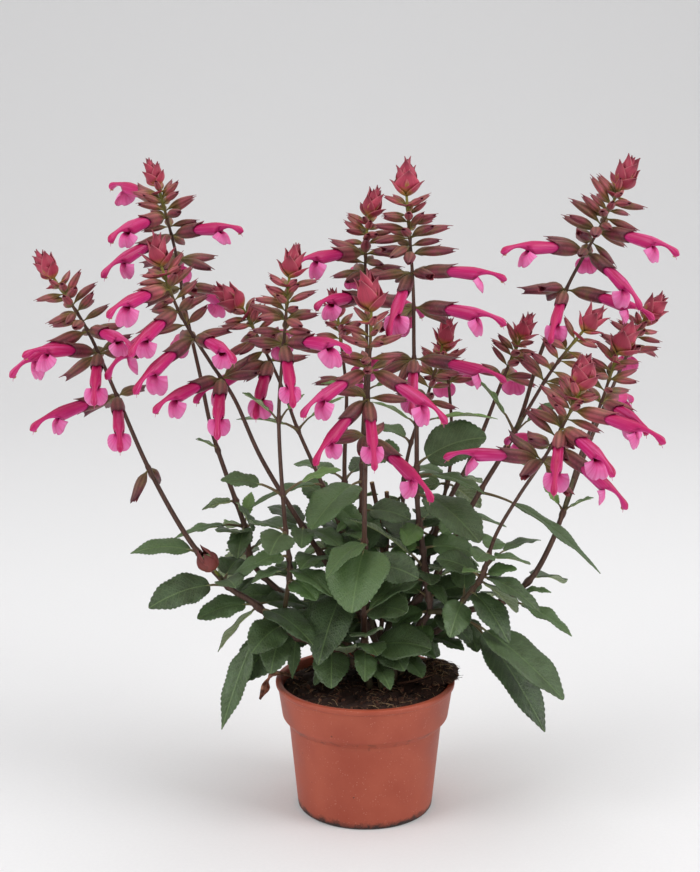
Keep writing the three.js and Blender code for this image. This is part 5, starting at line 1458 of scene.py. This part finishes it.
def sage_leaf_upper(node):
    """A grown sage leaf's upper face: green, puckered between sunken paler veins, faintly waxy."""
    run, cross, tone, _, place = painted(node)
    aside, net, lines = vein_lines(node, run, cross, (0.08, 0.2), (0.1, 0.14))
    leaf = bpy.context.scene.sage_colours.leaf
    base = node("ValToRGB", {0: tone}, stops=[
        (0, "#26351C"), (0.35, leaf), (0.7, "#557240"), (1, "#84AC54"),
    ])
    blotches = node("TexNoise", {"Vector": place, "Scale": 110, "Detail": 4})
    blotched = tinted(node, base, "#5B7450", blotches, 0.35, 0.7, 0.4)
    rib = node("MapRange", {0: aside, 1: 0.05, 2: 0.16, 3: 0.4, 4: 0})
    all_lines = node("Math", {0: lines, 1: rib}, operation="MAXIMUM")
    colour = node("Mix", {0: all_lines, 6: blotched, 7: "#7E9860"}, data_type="RGBA")
    puckers = node("MapRange", {0: net, 2: 0.3}, interpolation_type="SMOOTHSTEP")
    bump = node("Bump", {"Height": puckers, "Strength": 0.45, "Distance": 0.0004})
    rough = node("MapRange", {0: blotches, 1: 0.3, 2: 0.7, 3: 0.38, 4: 0.56})
    return {
        "Base Color": colour, "Roughness": rough, "IOR": 1.42, "Specular IOR Level": 0.65,
        "Normal": bump,
    }


def sage_leaf_underside(node):
    """The same leaf's underside: pale grey-green and downy, with raised veins."""
    run, cross, tone, _, _ = painted(node)
    *_, lines = vein_lines(node, run, cross, (0.12, 0.8), (0.14, 0.45))
    base = node("ValToRGB", {0: tone}, stops=[(0, "#6F825A"), (1, "#9AAF80")])
    colour = node("Mix", {0: lines, 6: base, 7: "#BFCBA2"}, data_type="RGBA")
    bump = node("Bump", {"Height": lines, "Strength": 0.7, "Distance": 0.0004})
    return {
        "Base Color": colour, "Roughness": 0.7, "IOR": 1.42, "Sheen Weight": 0.2,
        "Sheen Roughness": 0.5, "Normal": bump,
    }


def square_stem_skin(node):
    """A sage's grown stem: olive at the top, then brown-purple, matt and a little downy."""
    age, corner_highlight, _, _, place = painted(node)
    stem = bpy.context.scene.sage_colours.stem
    base = node("ValToRGB", {0: age}, stops=[
        (0, "#8E9238"), (0.3, "#7A7436"), (0.55, "#5A3A2A"), (0.8, stem), (1, "#4F4C30"),
    ])
    # Streaks along the stem, about 1 mm wide
    streaks = drawn_out(node, place, (900, 900, 60))
    streaked = tinted(node, base, "#7E5D48", streaks, 0.4, 0.72, 0.35)
    # Painted highlights on the corners, and painted shade on the flats between them
    colour = dimmed(node, streaked, corner_highlight, -1, 1, 0.75, 1.2)
    bump = node("Bump", {"Height": streaks, "Strength": 0.4, "Distance": 0.0003})
    return {
        "Base Color": colour, "Roughness": 0.5, "IOR": 1.45, "Sheen Weight": 0.05,
        "Sheen Roughness": 0.5, "Normal": bump,
    }


def leaf_stalk_skin(node):
    """A leaf's stalk and midrib: pale green, flushed brown near the stem, smooth."""
    in_blade, *_, place = painted(node)
    colour = node("ValToRGB", {0: in_blade}, stops=[
        (0, "#6A5A3C"), (0.5, "#80895A"), (1, "#9FAC7A"),
    ])
    grain = node("TexNoise", {"Vector": place, "Scale": 900, "Detail": 2})
    shaded = dimmed(node, colour, grain, 0.3, 0.7, 0.8, 1.15)
    return {
        "Base Color": shaded, "Roughness": 0.5, "IOR": 1.42, "Sheen Weight": 0.1,
    }


def downy_calyx(node):
    """A sage's ribbed calyx: rosy when young, maroon later, olive at its foot and in patches."""
    colours = bpy.context.scene.sage_colours
    run, up, tone, rib, place = painted(node)
    young = node("ValToRGB", {0: run}, stops=[
        (0, "#A09A42"), (0.24, "#A67C48"), (0.5, colours.calyx_young), (1, "#963A4A"),
    ])
    old = node("ValToRGB", {0: run}, stops=[
        (0, "#6A6230"), (0.2, "#6C4638"), (0.5, colours.calyx_old), (1, "#501E30"),
    ])
    aged = node("Mix", {0: tone, 6: young, 7: old}, data_type="RGBA")
    # Olive patches of about 10 mm, so that some calyces are greener than others
    patches = node("TexNoise", {"Vector": place, "Scale": 95, "Detail": 2})
    patchy = node("MapRange", {0: patches, 1: 0.48, 2: 0.66, 4: 0.75})
    towards_tip = node("MapRange", {0: run, 1: 0.45, 2: 1, 3: 1, 4: 0.15})
    back = node("MapRange", {0: up, 1: 0.1, 2: 1, 4: 0.45})
    olive = node("Math", {0: patchy, 1: back}, operation="MAXIMUM")
    green = node("Math", {0: olive, 1: towards_tip}, operation="MULTIPLY")
    greened = node("Mix", {0: green, 6: aged, 7: "#70683A"}, data_type="RGBA")
    # Mottling by the down and its oil glands, drawn 1.5 mm wide so that it shows
    down = node("TexNoise", {"Vector": place, "Scale": 620, "Detail": 5, "Roughness": 0.7})
    mottled = tinted(node, greened, "#C08088", down, 0.5, 0.8, 0.3)
    # Painted shade in the grooves between the ribs, and painted light on the ribs
    colour = dimmed(node, mottled, rib, 0, 1, 0.62, 1.2)
    bump = node("Bump", {"Height": down, "Strength": 0.5, "Distance": 0.0004})
    return {
        "Base Color": colour, "Roughness": 0.52, "IOR": 1.42, "Sheen Weight": 0.08,
        "Sheen Roughness": 0.4, "Sheen Tint": "#E8C8C0", "Normal": bump,
    }


def petal_tissue(node):
    """The flower's tube and hood: crimson on top and pink below, velvety and translucent."""
    run, up, tone, _, place = painted(node)
    petal = bpy.context.scene.sage_colours.petal
    side = node("MapRange", {0: up, 1: -1, 2: 1})
    base = node("ValToRGB", {0: side}, stops=[
        (0, "#D2509A"), (0.35, "#C82878"), (0.7, petal), (1, "#A60C48"),
    ])
    # Some flowers are crimson all over, and each is deeper towards its hood's tip
    near_tip = node("Math", {0: run, 1: 0.35, 2: tone}, operation="MULTIPLY_ADD")
    aged = tinted(node, base, "#B40A58", near_tip, 0.45, 1.3, 0.85)
    # Veins along the tube, about 1.5 mm apart
    veins = drawn_out(node, node("CombineXYZ", {0: up, 1: run, 2: tone}), (4, 0.8, 9))
    colour = tinted(node, aged, "#DC5E9E", veins, 0.48, 0.7, 0.55)
    down = node("TexNoise", {"Vector": place, "Scale": 700, "Detail": 4})
    bump = node("Bump", {"Height": down, "Strength": 0.25, "Distance": 0.0003})
    return {
        "Base Color": colour, "Roughness": 0.45, "IOR": 1.4, "Subsurface Weight": 0.1,
        "Subsurface Radius": (0.8, 0.3, 0.6), "Subsurface Scale": 0.0015, "Sheen Weight": 0.04,
        "Sheen Roughness": 0.4, "Sheen Tint": "#F4A0C8", "Normal": bump,
    }


def lip_tissue(node):
    """The lower lip: the same tissue spread thin, so paler, with fine streaks fanning out."""
    run, cross, tone, _, _ = painted(node)
    lip = bpy.context.scene.sage_colours.lip
    base = node("ValToRGB", {0: run}, stops=[
        (0, "#B01456"), (0.25, "#C8327E"), (0.55, lip), (1, "#E480B4"),
    ])
    # Streaks that fan out from the throat, drawn 1 mm wide so that they show
    streaks = drawn_out(node, node("CombineXYZ", {0: cross, 1: tone}), (9, 20, 1))
    streaked = tinted(node, base, "#C4286E", streaks, 0.45, 0.7, 0.5)
    colour = dimmed(node, streaked, tone, 0, 1, 0.92, 1.08)
    bump = node("Bump", {"Height": streaks, "Strength": 0.4, "Distance": 0.0003})
    return {
        "Base Color": colour, "Roughness": 0.5, "IOR": 1.4, "Subsurface Weight": 0.25,
        "Subsurface Radius": (1, 0.3, 0.5), "Subsurface Scale": 0.002, "Sheen Weight": 0.15,
        "Sheen Tint": "#F4B0D0", "Normal": bump,
    }


def bract_skin(stops):
    """Terminal bracts, downy, with a fringe of short hairs that pales their edges."""

    def shade(node):
        run, cross, tone, edge, place = painted(node)
        base = node("ValToRGB", {0: run}, stops=stops)
        varied = dimmed(node, base, tone, 0, 1, 0.8, 1.18)
        # Veins that run up the bract, about 1 mm apart
        plan = node("CombineXYZ", {0: cross, 1: run, 2: tone})
        veins = drawn_out(node, plan, (9, 1.6, 9), 4)
        veined = tinted(node, varied, "#6E2232", veins, 0.5, 0.7, 0.35)
        fringed = tinted(node, veined, "#C98A86", edge, 0.88, 1, 0.22)
        down = node("TexNoise", {"Vector": place, "Scale": 900, "Detail": 4})
        bump = node("Bump", {"Height": down, "Strength": 0.4, "Distance": 0.0003})
        return {
            "Base Color": fringed, "Roughness": 0.5, "IOR": 1.42, "Sheen Weight": 0.08,
            "Sheen Roughness": 0.45, "Sheen Tint": "#F0C8C0", "Normal": bump,
        }

    return shade


def studio_paper(node):
    """Matt white background paper, which takes soft shadows and has no gloss."""
    *_, place = painted(node)
    tooth = node("TexNoise", {"Vector": place, "Scale": 400, "Detail": 2})
    colour = node("ValToRGB", {0: tooth}, stops=[
        (0.3, bpy.context.scene.sage_colours.floor), (0.7, "#E5E5E6"),
    ])
    return {
        "Base Color": colour, "Roughness": 0.95, "Specular IOR Level": 0.1,
    }


def stem_materials():
    return [
        finish("Sage stem, square and downy", square_stem_skin),
        finish("Sage leaf, upper face", sage_leaf_upper),
        finish("Sage leaf, underside", sage_leaf_underside),
        finish("Sage leaf stalk", leaf_stalk_skin),
        finish("Cut stem, dry pith", cut_pith),
    ]


def spike_materials(closed):
    rosy = [(0, "#A29A40"), (0.2, "#B07A46"), (0.4, "#B44058"), (0.75, "#A8384E"), (1, "#702838")]
    dark = [(0, "#7A5A3C"), (0.3, "#84443A"), (0.7, "#743430"), (1, "#4E2422")]
    bract = ("Terminal bract, closed bud", dark) if closed else ("Terminal bract, rosy", rosy)
    return [
        finish("Sage stem, square and downy", square_stem_skin),
        finish("Sage calyx, ribbed and downy", downy_calyx),
        finish("Sage calyx lining", smooth_lining("#7A1C36", "#8E4048")),
        finish(bract[0], bract_skin(bract[1])),
        finish("Sage leaf stalk", leaf_stalk_skin),
    ]


def length(name, description, default):
    return bpy.props.FloatProperty(
        name=name, description=description, default=default, min=0.0, unit="LENGTH", precision=5
    )


def tint(name, description, default):
    return bpy.props.FloatVectorProperty(
        name=name, description=description, default=linear(default)[:3], subtype="COLOR", min=0,
        max=1,
    )


class SagePot(bpy.types.PropertyGroup):
    rim_radius: length("Rim radius", "Outside radius of the pot's rim", 0.065)
    height: length("Height", "Height of the pot", 0.0946)
    base_radius: length("Base radius", "Outside radius of the pot's base", 0.049)
    wall: length("Wall", "Thickness of the pot's wall", 0.0022)


class SageLeaf(bpy.types.PropertyGroup):
    tooth_pitch: length("Tooth pitch", "Distance between two teeth of a leaf's edge", 0.0031)
    tooth_depth: length("Tooth depth", "How deep the teeth are cut", 0.0009)
    vein_spacing: length("Vein spacing", "Distance between two side veins", 0.0045)
    wave: length("Wave", "How far a leaf's edge waves up and down", 0.0012)
    thickness: length("Thickness", "Thickness of the blade", 0.00045)


class SageFlower(bpy.types.PropertyGroup):
    petal_thickness: length("Petal thickness", "Thickness of the tube and the lips", 0.0004)
    calyx_wall: length("Calyx wall", "Thickness of the calyx", 0.00045)
    rib_relief: bpy.props.FloatProperty(
        name="Rib relief", description="Height of a calyx's ribs as a share of its radius",
        default=0.035, min=0.0, max=0.2, subtype="FACTOR",
    )


class SageColours(bpy.types.PropertyGroup):
    pot: tint("Pot", "Moulded terracotta-coloured plastic", "#A0432B")
    leaf: tint("Leaf", "Upper face of a grown leaf", "#394A2A")
    stem: tint("Stem", "Grown stem", "#4A2E25")
    petal: tint("Petal", "Tube and hood of the flower", "#C01766")
    lip: tint("Lower lip", "Spread lower lip of the flower", "#DC5A9E")
    calyx_young: tint("Young calyx", "Calyx near the top of a spike", "#C8686E")
    calyx_old: tint("Old calyx", "Calyx low on a spike", "#783444")
    floor: tint("Stage", "Background paper", "#E3E3E4")


class SageOperator:
    """What the sage's operators share: the sizes, and the plan that goes with them."""

    bl_options = {"REGISTER", "UNDO"}

    @staticmethod
    def planned(context):
        pot = context.scene.sage_pot
        return planned_plant(round(pot.rim_radius / MM, 3), round(pot.height / MM, 3))


class SAGE_OT_pot(SageOperator, bpy.types.Operator):
    """Build the moulded pot with its step, its rounded rim and its drain holes"""

    bl_idname = "sage.pot"
    bl_label = "Pot"

    def execute(self, context):
        pot = context.scene.sage_pot
        rim, height = pot.rim_radius / MM, pot.height / MM
        base, wall = pot.base_radius / MM, pot.wall / MM
        under_lip, soft = height - POT_LIP["height"], POT_LIP["rounding"]
        foot, recess = base - POT_FOOT["width"], POT_FOOT["recess"]
        profile = [
            [foot - recess, recess], [foot, 0], [base, 0], [POT_BODY_TOP, POT_SHOULDER],
            [POT_COLLAR["radius"], POT_COLLAR["bottom"]], [rim - 1.5 * soft, under_lip],
            [rim - 0.3, under_lip + soft], [rim, height], [rim - POT_LIP["width"], height],
        ]
        for level in (POT_COLLAR["bottom"] + wall, POT_SHOULDER, wall):
            profile.append([inside_radius(level, pot), level])
        form = Form()
        form.tube(lathe(rounded(profile, POT_ROUNDING), POT_RINGS))
        plastic = finish("Moulded polypropylene, terracotta", moulded_polypropylene)
        shell = form.piece("pot_shell", [plastic], "pot")
        drill = Form()
        for k in range(DRAINS["count"]):
            turn = (k + 0.5) / DRAINS["count"] * 2 * math.pi
            hole = np.array([math.cos(turn), math.sin(turn), 0]) * DRAINS["circle"]
            ring = lathe(np.array([[DRAINS["radius"], -3], [DRAINS["radius"], 3 * wall]]), 28)
            drill.tube(ring + hole)
        cutter = drill.body("drain_drill", [plastic])
        cut = shell.modifiers.new("drain holes", "BOOLEAN")
        cut.object, cut.operation, cut.solver = cutter, "DIFFERENCE", "EXACT"
        bpy.context.view_layer.update()
        done = shell.evaluated_get(bpy.context.evaluated_depsgraph_get())
        holed = bpy.data.meshes.new_from_object(done)
        shell.modifiers.clear()
        shell.data = holed
        holed.name = "pot_shell"
        holed.set_sharp_from_angle(angle=math.radians(SHARP_EDGE))
        bpy.data.objects.remove(cutter)
        return {"FINISHED"}


class SAGE_OT_compost(SageOperator, bpy.types.Operator):
    """Build the compost with its crumbs and threads, and the heap over the rim"""

    bl_idname = "sage.compost"
    bl_label = "Compost"

    def execute(self, context):
        pot = context.scene.sage_pot
        height, wall = pot.height / MM, pot.wall / MM
        random = np.random.default_rng(7)
        form = Form()
        gap, collar = COMPOST["clearance"], POT_COLLAR["bottom"]
        levels = np.array([wall + gap, POT_SHOULDER, collar + wall, COMPOST["edge"]])
        turn = around(COMPOST_RINGS["sides"])
        side = lathe(np.stack([inside_radius(levels, pot) - gap, levels], axis=1), len(turn))
        rim_inside = float(inside_radius(COMPOST["top"], pot)) - gap
        radius = rim_inside * np.linspace(0.985, 0.012, COMPOST_RINGS["shares"])[:, None]
        x, y = radius * np.cos(turn), radius * np.sin(turn)
        ground = compost_height(x, y) + random.normal(0, 0.35, x.shape)
        ground = ground - 1.6 * smooth_step((radius - rim_inside + 4) / 4)
        form.tube(np.vstack([side, np.stack([x, y, ground], axis=-1)]), 0, tone=0.25)
        self.heap(form, random, height)
        self.scatter(form, random, height, rim_inside)
        materials = [finish("Peat compost", peat_compost), finish("Dry plant fibre", plant_fibre)]
        form.piece("compost_bed", materials, "compost")
        return {"FINISHED"}

    def heap(self, form, random, height):
        """The heap lies on the rim at the right, and is rough all over."""
        turn = around(HEAP_RINGS[1])
        lift = np.linspace(0, 1, HEAP_RINGS[0])
        drawn = np.array(HEAP["rings"], float)
        radius = flow(lift * drawn[-1, 1], drawn[:, 1], drawn[:, 0])[:, None]
        rough = 1 + random.normal(0, 0.045, HEAP_RINGS)
        rough = rough + 0.07 * np.sin(3 * turn + 1) * np.sin(5 * turn)
        x = HEAP["at"][0] + radius * rough * np.cos(turn)
        y = HEAP["at"][1] + radius * rough * np.sin(turn) * HEAP["stretch"]
        z = height + CLEARANCE + (lift * drawn[-1, 1])[:, None] + random.normal(0, 0.3, x.shape)
        z[0] = height + CLEARANCE
        form.tube(np.stack([x, y, z], axis=-1), 0, tone=0.3)

    def scatter(self, form, random, height, rim_inside):
        """Crumbs and threads lie on the compost, and more of them on the heap."""
        at, stretch = HEAP["at"], HEAP["stretch"]
        for i in range(SCATTER["crumbs"]):
            share, turn = math.sqrt(random.uniform(0, 1)), random.uniform(0, 2 * math.pi)
            radius = random.choice(CRUMB_SIZES["radius"], p=CRUMB_SIZES["share"])
            radius = radius * random.uniform(0.8, 1.2)
            on_heap = i < SCATTER["on_heap"]
            if on_heap:
                x = at[0] + 18.6 * share * math.cos(turn)
                y = at[1] + 18.6 * share * math.sin(turn) * stretch
                z = height + CLEARANCE + 6.8 * (1 - share**2.4) + 0.4
            else:
                reach = (rim_inside - radius - 0.6) * share
                x, y = reach * math.cos(turn), reach * math.sin(turn)
                z = float(compost_height(x, y)) - (0.9 if share > 0.94 else 0)
            crumb(form, np.array([x, y, z + 0.25 * radius]), radius, random, 0)
            if i % 2 == 0 or on_heap:
                length = random.uniform(*SCATTER["thread"])
                thick = random.uniform(*SCATTER["thread_radius"])
                fibre(form, np.array([x, y, z + 0.4]), length, thick, random, 1)
        stalk = along(FALLEN_STALK, 2)
        hose(form, stalk, np.linspace(0.9, 0.5, len(stalk)), 8, 1, tone=0.25)


class SAGE_OT_withered_leaf(SageOperator, bpy.types.Operator):
    """Build the dead leaf that hangs over the rim"""

    bl_idname = "sage.withered_leaf"
    bl_label = "Withered leaf"

    def execute(self, context):
        height = context.scene.sage_pot.height / MM
        random = np.random.default_rng(11)
        resting = height + CLEARANCE + 0.8
        route = [
            [-49, 7, float(compost_height(-49, 7)) + 1.6], [-60, 4, resting], [-67, 1.5, resting],
            *DEAD_LEAF_FALL,
        ]
        run = along(route, 0.8)
        across, over = stem_axes(run)
        share = np.linspace(0, 1, len(run))[:, None]
        c = np.linspace(-1, 1, 13)
        # The blade turns its face to the front where it hangs
        turn = 1.15 * smooth_step((share - 0.5) / 0.3)
        flat = -over * np.cos(turn) + across * np.sin(turn)
        lift = across * np.cos(turn) + over * np.sin(turn)
        half = 0.5 + 3.6 * np.sin(np.pi * np.clip(0.1 + 0.88 * share, 0, 1)) ** 0.7
        half = half * (1 + 0.14 * np.sin(17 * share + 1))
        curl = 1.6 * np.abs(c) * np.sin(np.pi * share) + 0.35 * np.sin(7 * c + 16 * share)
        curl = curl + random.normal(0, 0.1, curl.shape)
        upper = shifted(run[:, None], (flat[:, None], half * c), (lift[:, None], curl))
        form = Form()
        form.plate(upper, upper - lift[:, None] * DEAD_LEAF_THICKNESS, (0, 0), flip=True)
        form.piece("dead_leaf", [finish("Dried leaf", dried_leaf)], "withered_leaf")
        return {"FINISHED"}


class SAGE_OT_leafy_stems(SageOperator, bpy.types.Operator):
    """Build the nine stems with their branches, cut stubs and leaves"""

    bl_idname = "sage.leafy_stems"
    bl_label = "Leafy stems"

    def execute(self, context):
        plant = self.planned(context)
        sizes = context.scene.sage_leaf
        for name in plant.plants:
            random = np.random.default_rng(int(name))
            form = Form()
            for stem in plant.names:
                if SPIKES[stem]["plant"] == name:
                    self.stem(form, plant, stem)
            for owner, path in STUBS:
                if owner == name:
                    self.stub(form, along(path, FINE_STEP))
            for leaf in plant.leaves:
                if leaf["plant"] == name:
                    grow_leaf(form, leaf, sizes, random)
            form.piece(f"plant_{name}", stem_materials(), f"leafy_stem_{name}")
        return {"FINISHED"}

    def stem(self, form, plant, name):
        run = plant.runs[name]
        lower = run["lower"]
        walked = travelled(lower)
        bases = [leaf["base"] for leaf in plant.leaves if leaf["stem"] == name]
        nodes = [walked[np.argmin(np.linalg.norm(lower - base, axis=1))] for base in bases]
        swellings = [(at, *NODE_SWELLING) for at in sorted(set(nodes))]
        square_stem(
            form, lower, np.linspace(run["foot"], run["middle"], len(lower)), LEAF_STEM,
            lambda walk: 0.8 + 0.2 * smooth_step(1 - walk / 70), swellings,
        )

    def stub(self, form, run):
        """A cut stem: its skin, and the pith that shows in its cut end."""
        square_stem(
            form, run, np.full(len(run), STUB_RADIUS), LEAF_STEM,
            lambda walk: 0.55 + 0.3 * smooth_step(1 - walk / 30),
        )
        end, ahead = run[-1], unit(run[-1] - run[-2])
        hose(
            form, end + ahead * np.array([[-0.6], [0.1], [0.35]]),
            STUB_RADIUS * np.array([0.8, 0.78, 0.5]), 14, LEAF_PITH,
        )


class SAGE_OT_flower_spikes(SageOperator, bpy.types.Operator):
    """Build each spike's stem, its rings of calyces and the bracts at its top"""

    bl_idname = "sage.flower_spikes"
    bl_label = "Flower spikes"

    def execute(self, context):
        plant = self.planned(context)
        sizes = context.scene.sage_flower
        for name in plant.names:
            random = np.random.default_rng(100 + int(name))
            closed = "bud" in SPIKES[name]
            form = Form()
            run = plant.runs[name]
            upper = run["upper"]
            total = travelled(upper)[-1]
            rings = [distance for distance, _ in SPIKES[name]["whorls"] if distance < total - 3]
            swellings = [(total - distance, *RING_SWELLING) for distance in rings]
            radii = np.linspace(run["middle"], STEM_RADIUS["top"], len(upper))
            square_stem(
                form, upper, radii, SPIKE_STEM,
                lambda walk: 0.8 * smooth_step((total - walk) / YOUNG_STEM), swellings,
            )
            for organ in plant.organs:
                if organ["name"] == name:
                    grow_calyx(form, organ, sizes)
            grow_cone(form, name, run, random, BRACT_SKIN, CONE_CORE)
            node = f"closed_bud_{name}" if closed else f"flower_spike_{name}"
            form.piece(f"spike_{name}", spike_materials(closed), node)
        return {"FINISHED"}


class SAGE_OT_corollas(SageOperator, bpy.types.Operator):
    """Build the open flowers of each spike"""

    bl_idname = "sage.corollas"
    bl_label = "Open flowers"

    def execute(self, context):
        plant = self.planned(context)
        sizes = context.scene.sage_flower
        materials = [
            finish("Sage petal", petal_tissue),
            finish("Sage flower throat", smooth_lining("#7A0030", "#B8104C")),
            finish("Sage lower lip", lip_tissue), finish("Sage stamen", stamen_tissue),
        ]
        for name in plant.names:
            opened = [organ for organ in plant.organs if organ["name"] == name and organ["open"]]
            if opened:
                form = Form()
                for organ in opened:
                    grow_corolla(form, organ, sizes)
                form.piece(f"corollas_{name}", materials, f"flower_spike_{name}")
        return {"FINISHED"}


class SAGE_OT_stage(SageOperator, bpy.types.Operator):
    """Build the paper bowl, the soft lights and the camera"""

    bl_idname = "sage.stage"
    bl_label = "Stage"

    def execute(self, context):
        scene = context.scene
        self.bowl()
        self.lights(scene)
        view = bpy.data.cameras.new("camera")
        view.lens, view.sensor_width = CAMERA["lens"], CAMERA["sensor"]
        view.clip_start, view.clip_end = 0.01, 50
        camera = bpy.data.objects.new("camera", view)
        camera.location = CAMERA["place"]
        camera.rotation_euler = (math.radians(90 - CAMERA["pitch"]), 0, 0)
        scene.collection.objects.link(camera)
        scene.camera = camera
        scene.view_settings.view_transform = "Standard"
        return {"FINISHED"}

    def bowl(self):
        """The paper lies flat far round the pot and bends up, so that no edge of it is seen."""
        bend = np.linspace(0, math.pi / 2, 40)
        floor, curve = BOWL["floor"], BOWL["bend"]
        rings = [[0.05, 0], [0.4, 0], [1.0, 0]]
        rings += [[floor + curve * math.sin(a), curve * (1 - math.cos(a))] for a in bend]
        rings += [[floor + curve, BOWL["top"]]]
        form = Form()
        numbers = form.grid(lathe(np.array(rings) / MM, 96))
        form.skin(numbers, around=True, flip=True)
        form.cap(numbers[0])
        paper = form.body("stage_paper", [finish("Studio paper, matt", studio_paper)])

    def lights(self, scene):
        world = bpy.data.worlds.new("studio")
        scene.world = world
        world.use_nodes = True
        world.node_tree.nodes.clear()
        node = functools.partial(add_node, world.node_tree)
        node("OutputWorld", {"Surface": node("Background", SKY)})
        for name, place, aim, size, power in LIGHTS:
            lamp = bpy.data.lights.new(name, "AREA")
            lamp.size, lamp.energy = size, power
            made = bpy.data.objects.new(name, lamp)
            made.location = place
            towards = mathutils.Vector(aim) - made.location
            made.rotation_euler = towards.to_track_quat("-Z", "Y").to_euler()
            made.visible_camera = False
            scene.collection.objects.link(made)


class SAGE_PT_sidebar(bpy.types.Panel):
    """The steps that build the sage, in order"""

    bl_label = "Ornamental sage"
    bl_space_type = "VIEW_3D"
    bl_region_type = "UI"
    bl_category = "Sage"

    def draw(self, context):
        layout = self.layout
        for step in STEPS:
            layout.operator(step.bl_idname)
        for group, title in GROUPS:
            box = layout.box()
            box.label(text=title)
            settings = getattr(context.scene, group)
            for name in settings.__annotations__:
                box.prop(settings, name)


STEPS = (
    SAGE_OT_pot, SAGE_OT_compost, SAGE_OT_withered_leaf, SAGE_OT_leafy_stems,
    SAGE_OT_flower_spikes, SAGE_OT_corollas, SAGE_OT_stage,
)
GROUPS = (
    ("sage_pot", "Pot"), ("sage_leaf", "Leaves"), ("sage_flower", "Flowers"),
    ("sage_colours", "Colours"),
)
CLASSES = (SagePot, SageLeaf, SageFlower, SageColours, *STEPS, SAGE_PT_sidebar)


def register():
    for each in CLASSES:
        bpy.utils.register_class(each)
    for (group, _), kind in zip(GROUPS, CLASSES):
        setattr(bpy.types.Scene, group, bpy.props.PointerProperty(type=kind))


def unregister():
    for group, _ in GROUPS:
        delattr(bpy.types.Scene, group)
    for each in reversed(CLASSES):
        bpy.utils.unregister_class(each)


def main():
    register()
    bpy.ops.sage.pot()
    bpy.ops.sage.compost()
    bpy.ops.sage.withered_leaf()
    bpy.ops.sage.leafy_stems()
    bpy.ops.sage.flower_spikes()
    bpy.ops.sage.corollas()
    bpy.ops.sage.stage()


if __name__ == "__main__":
    main()
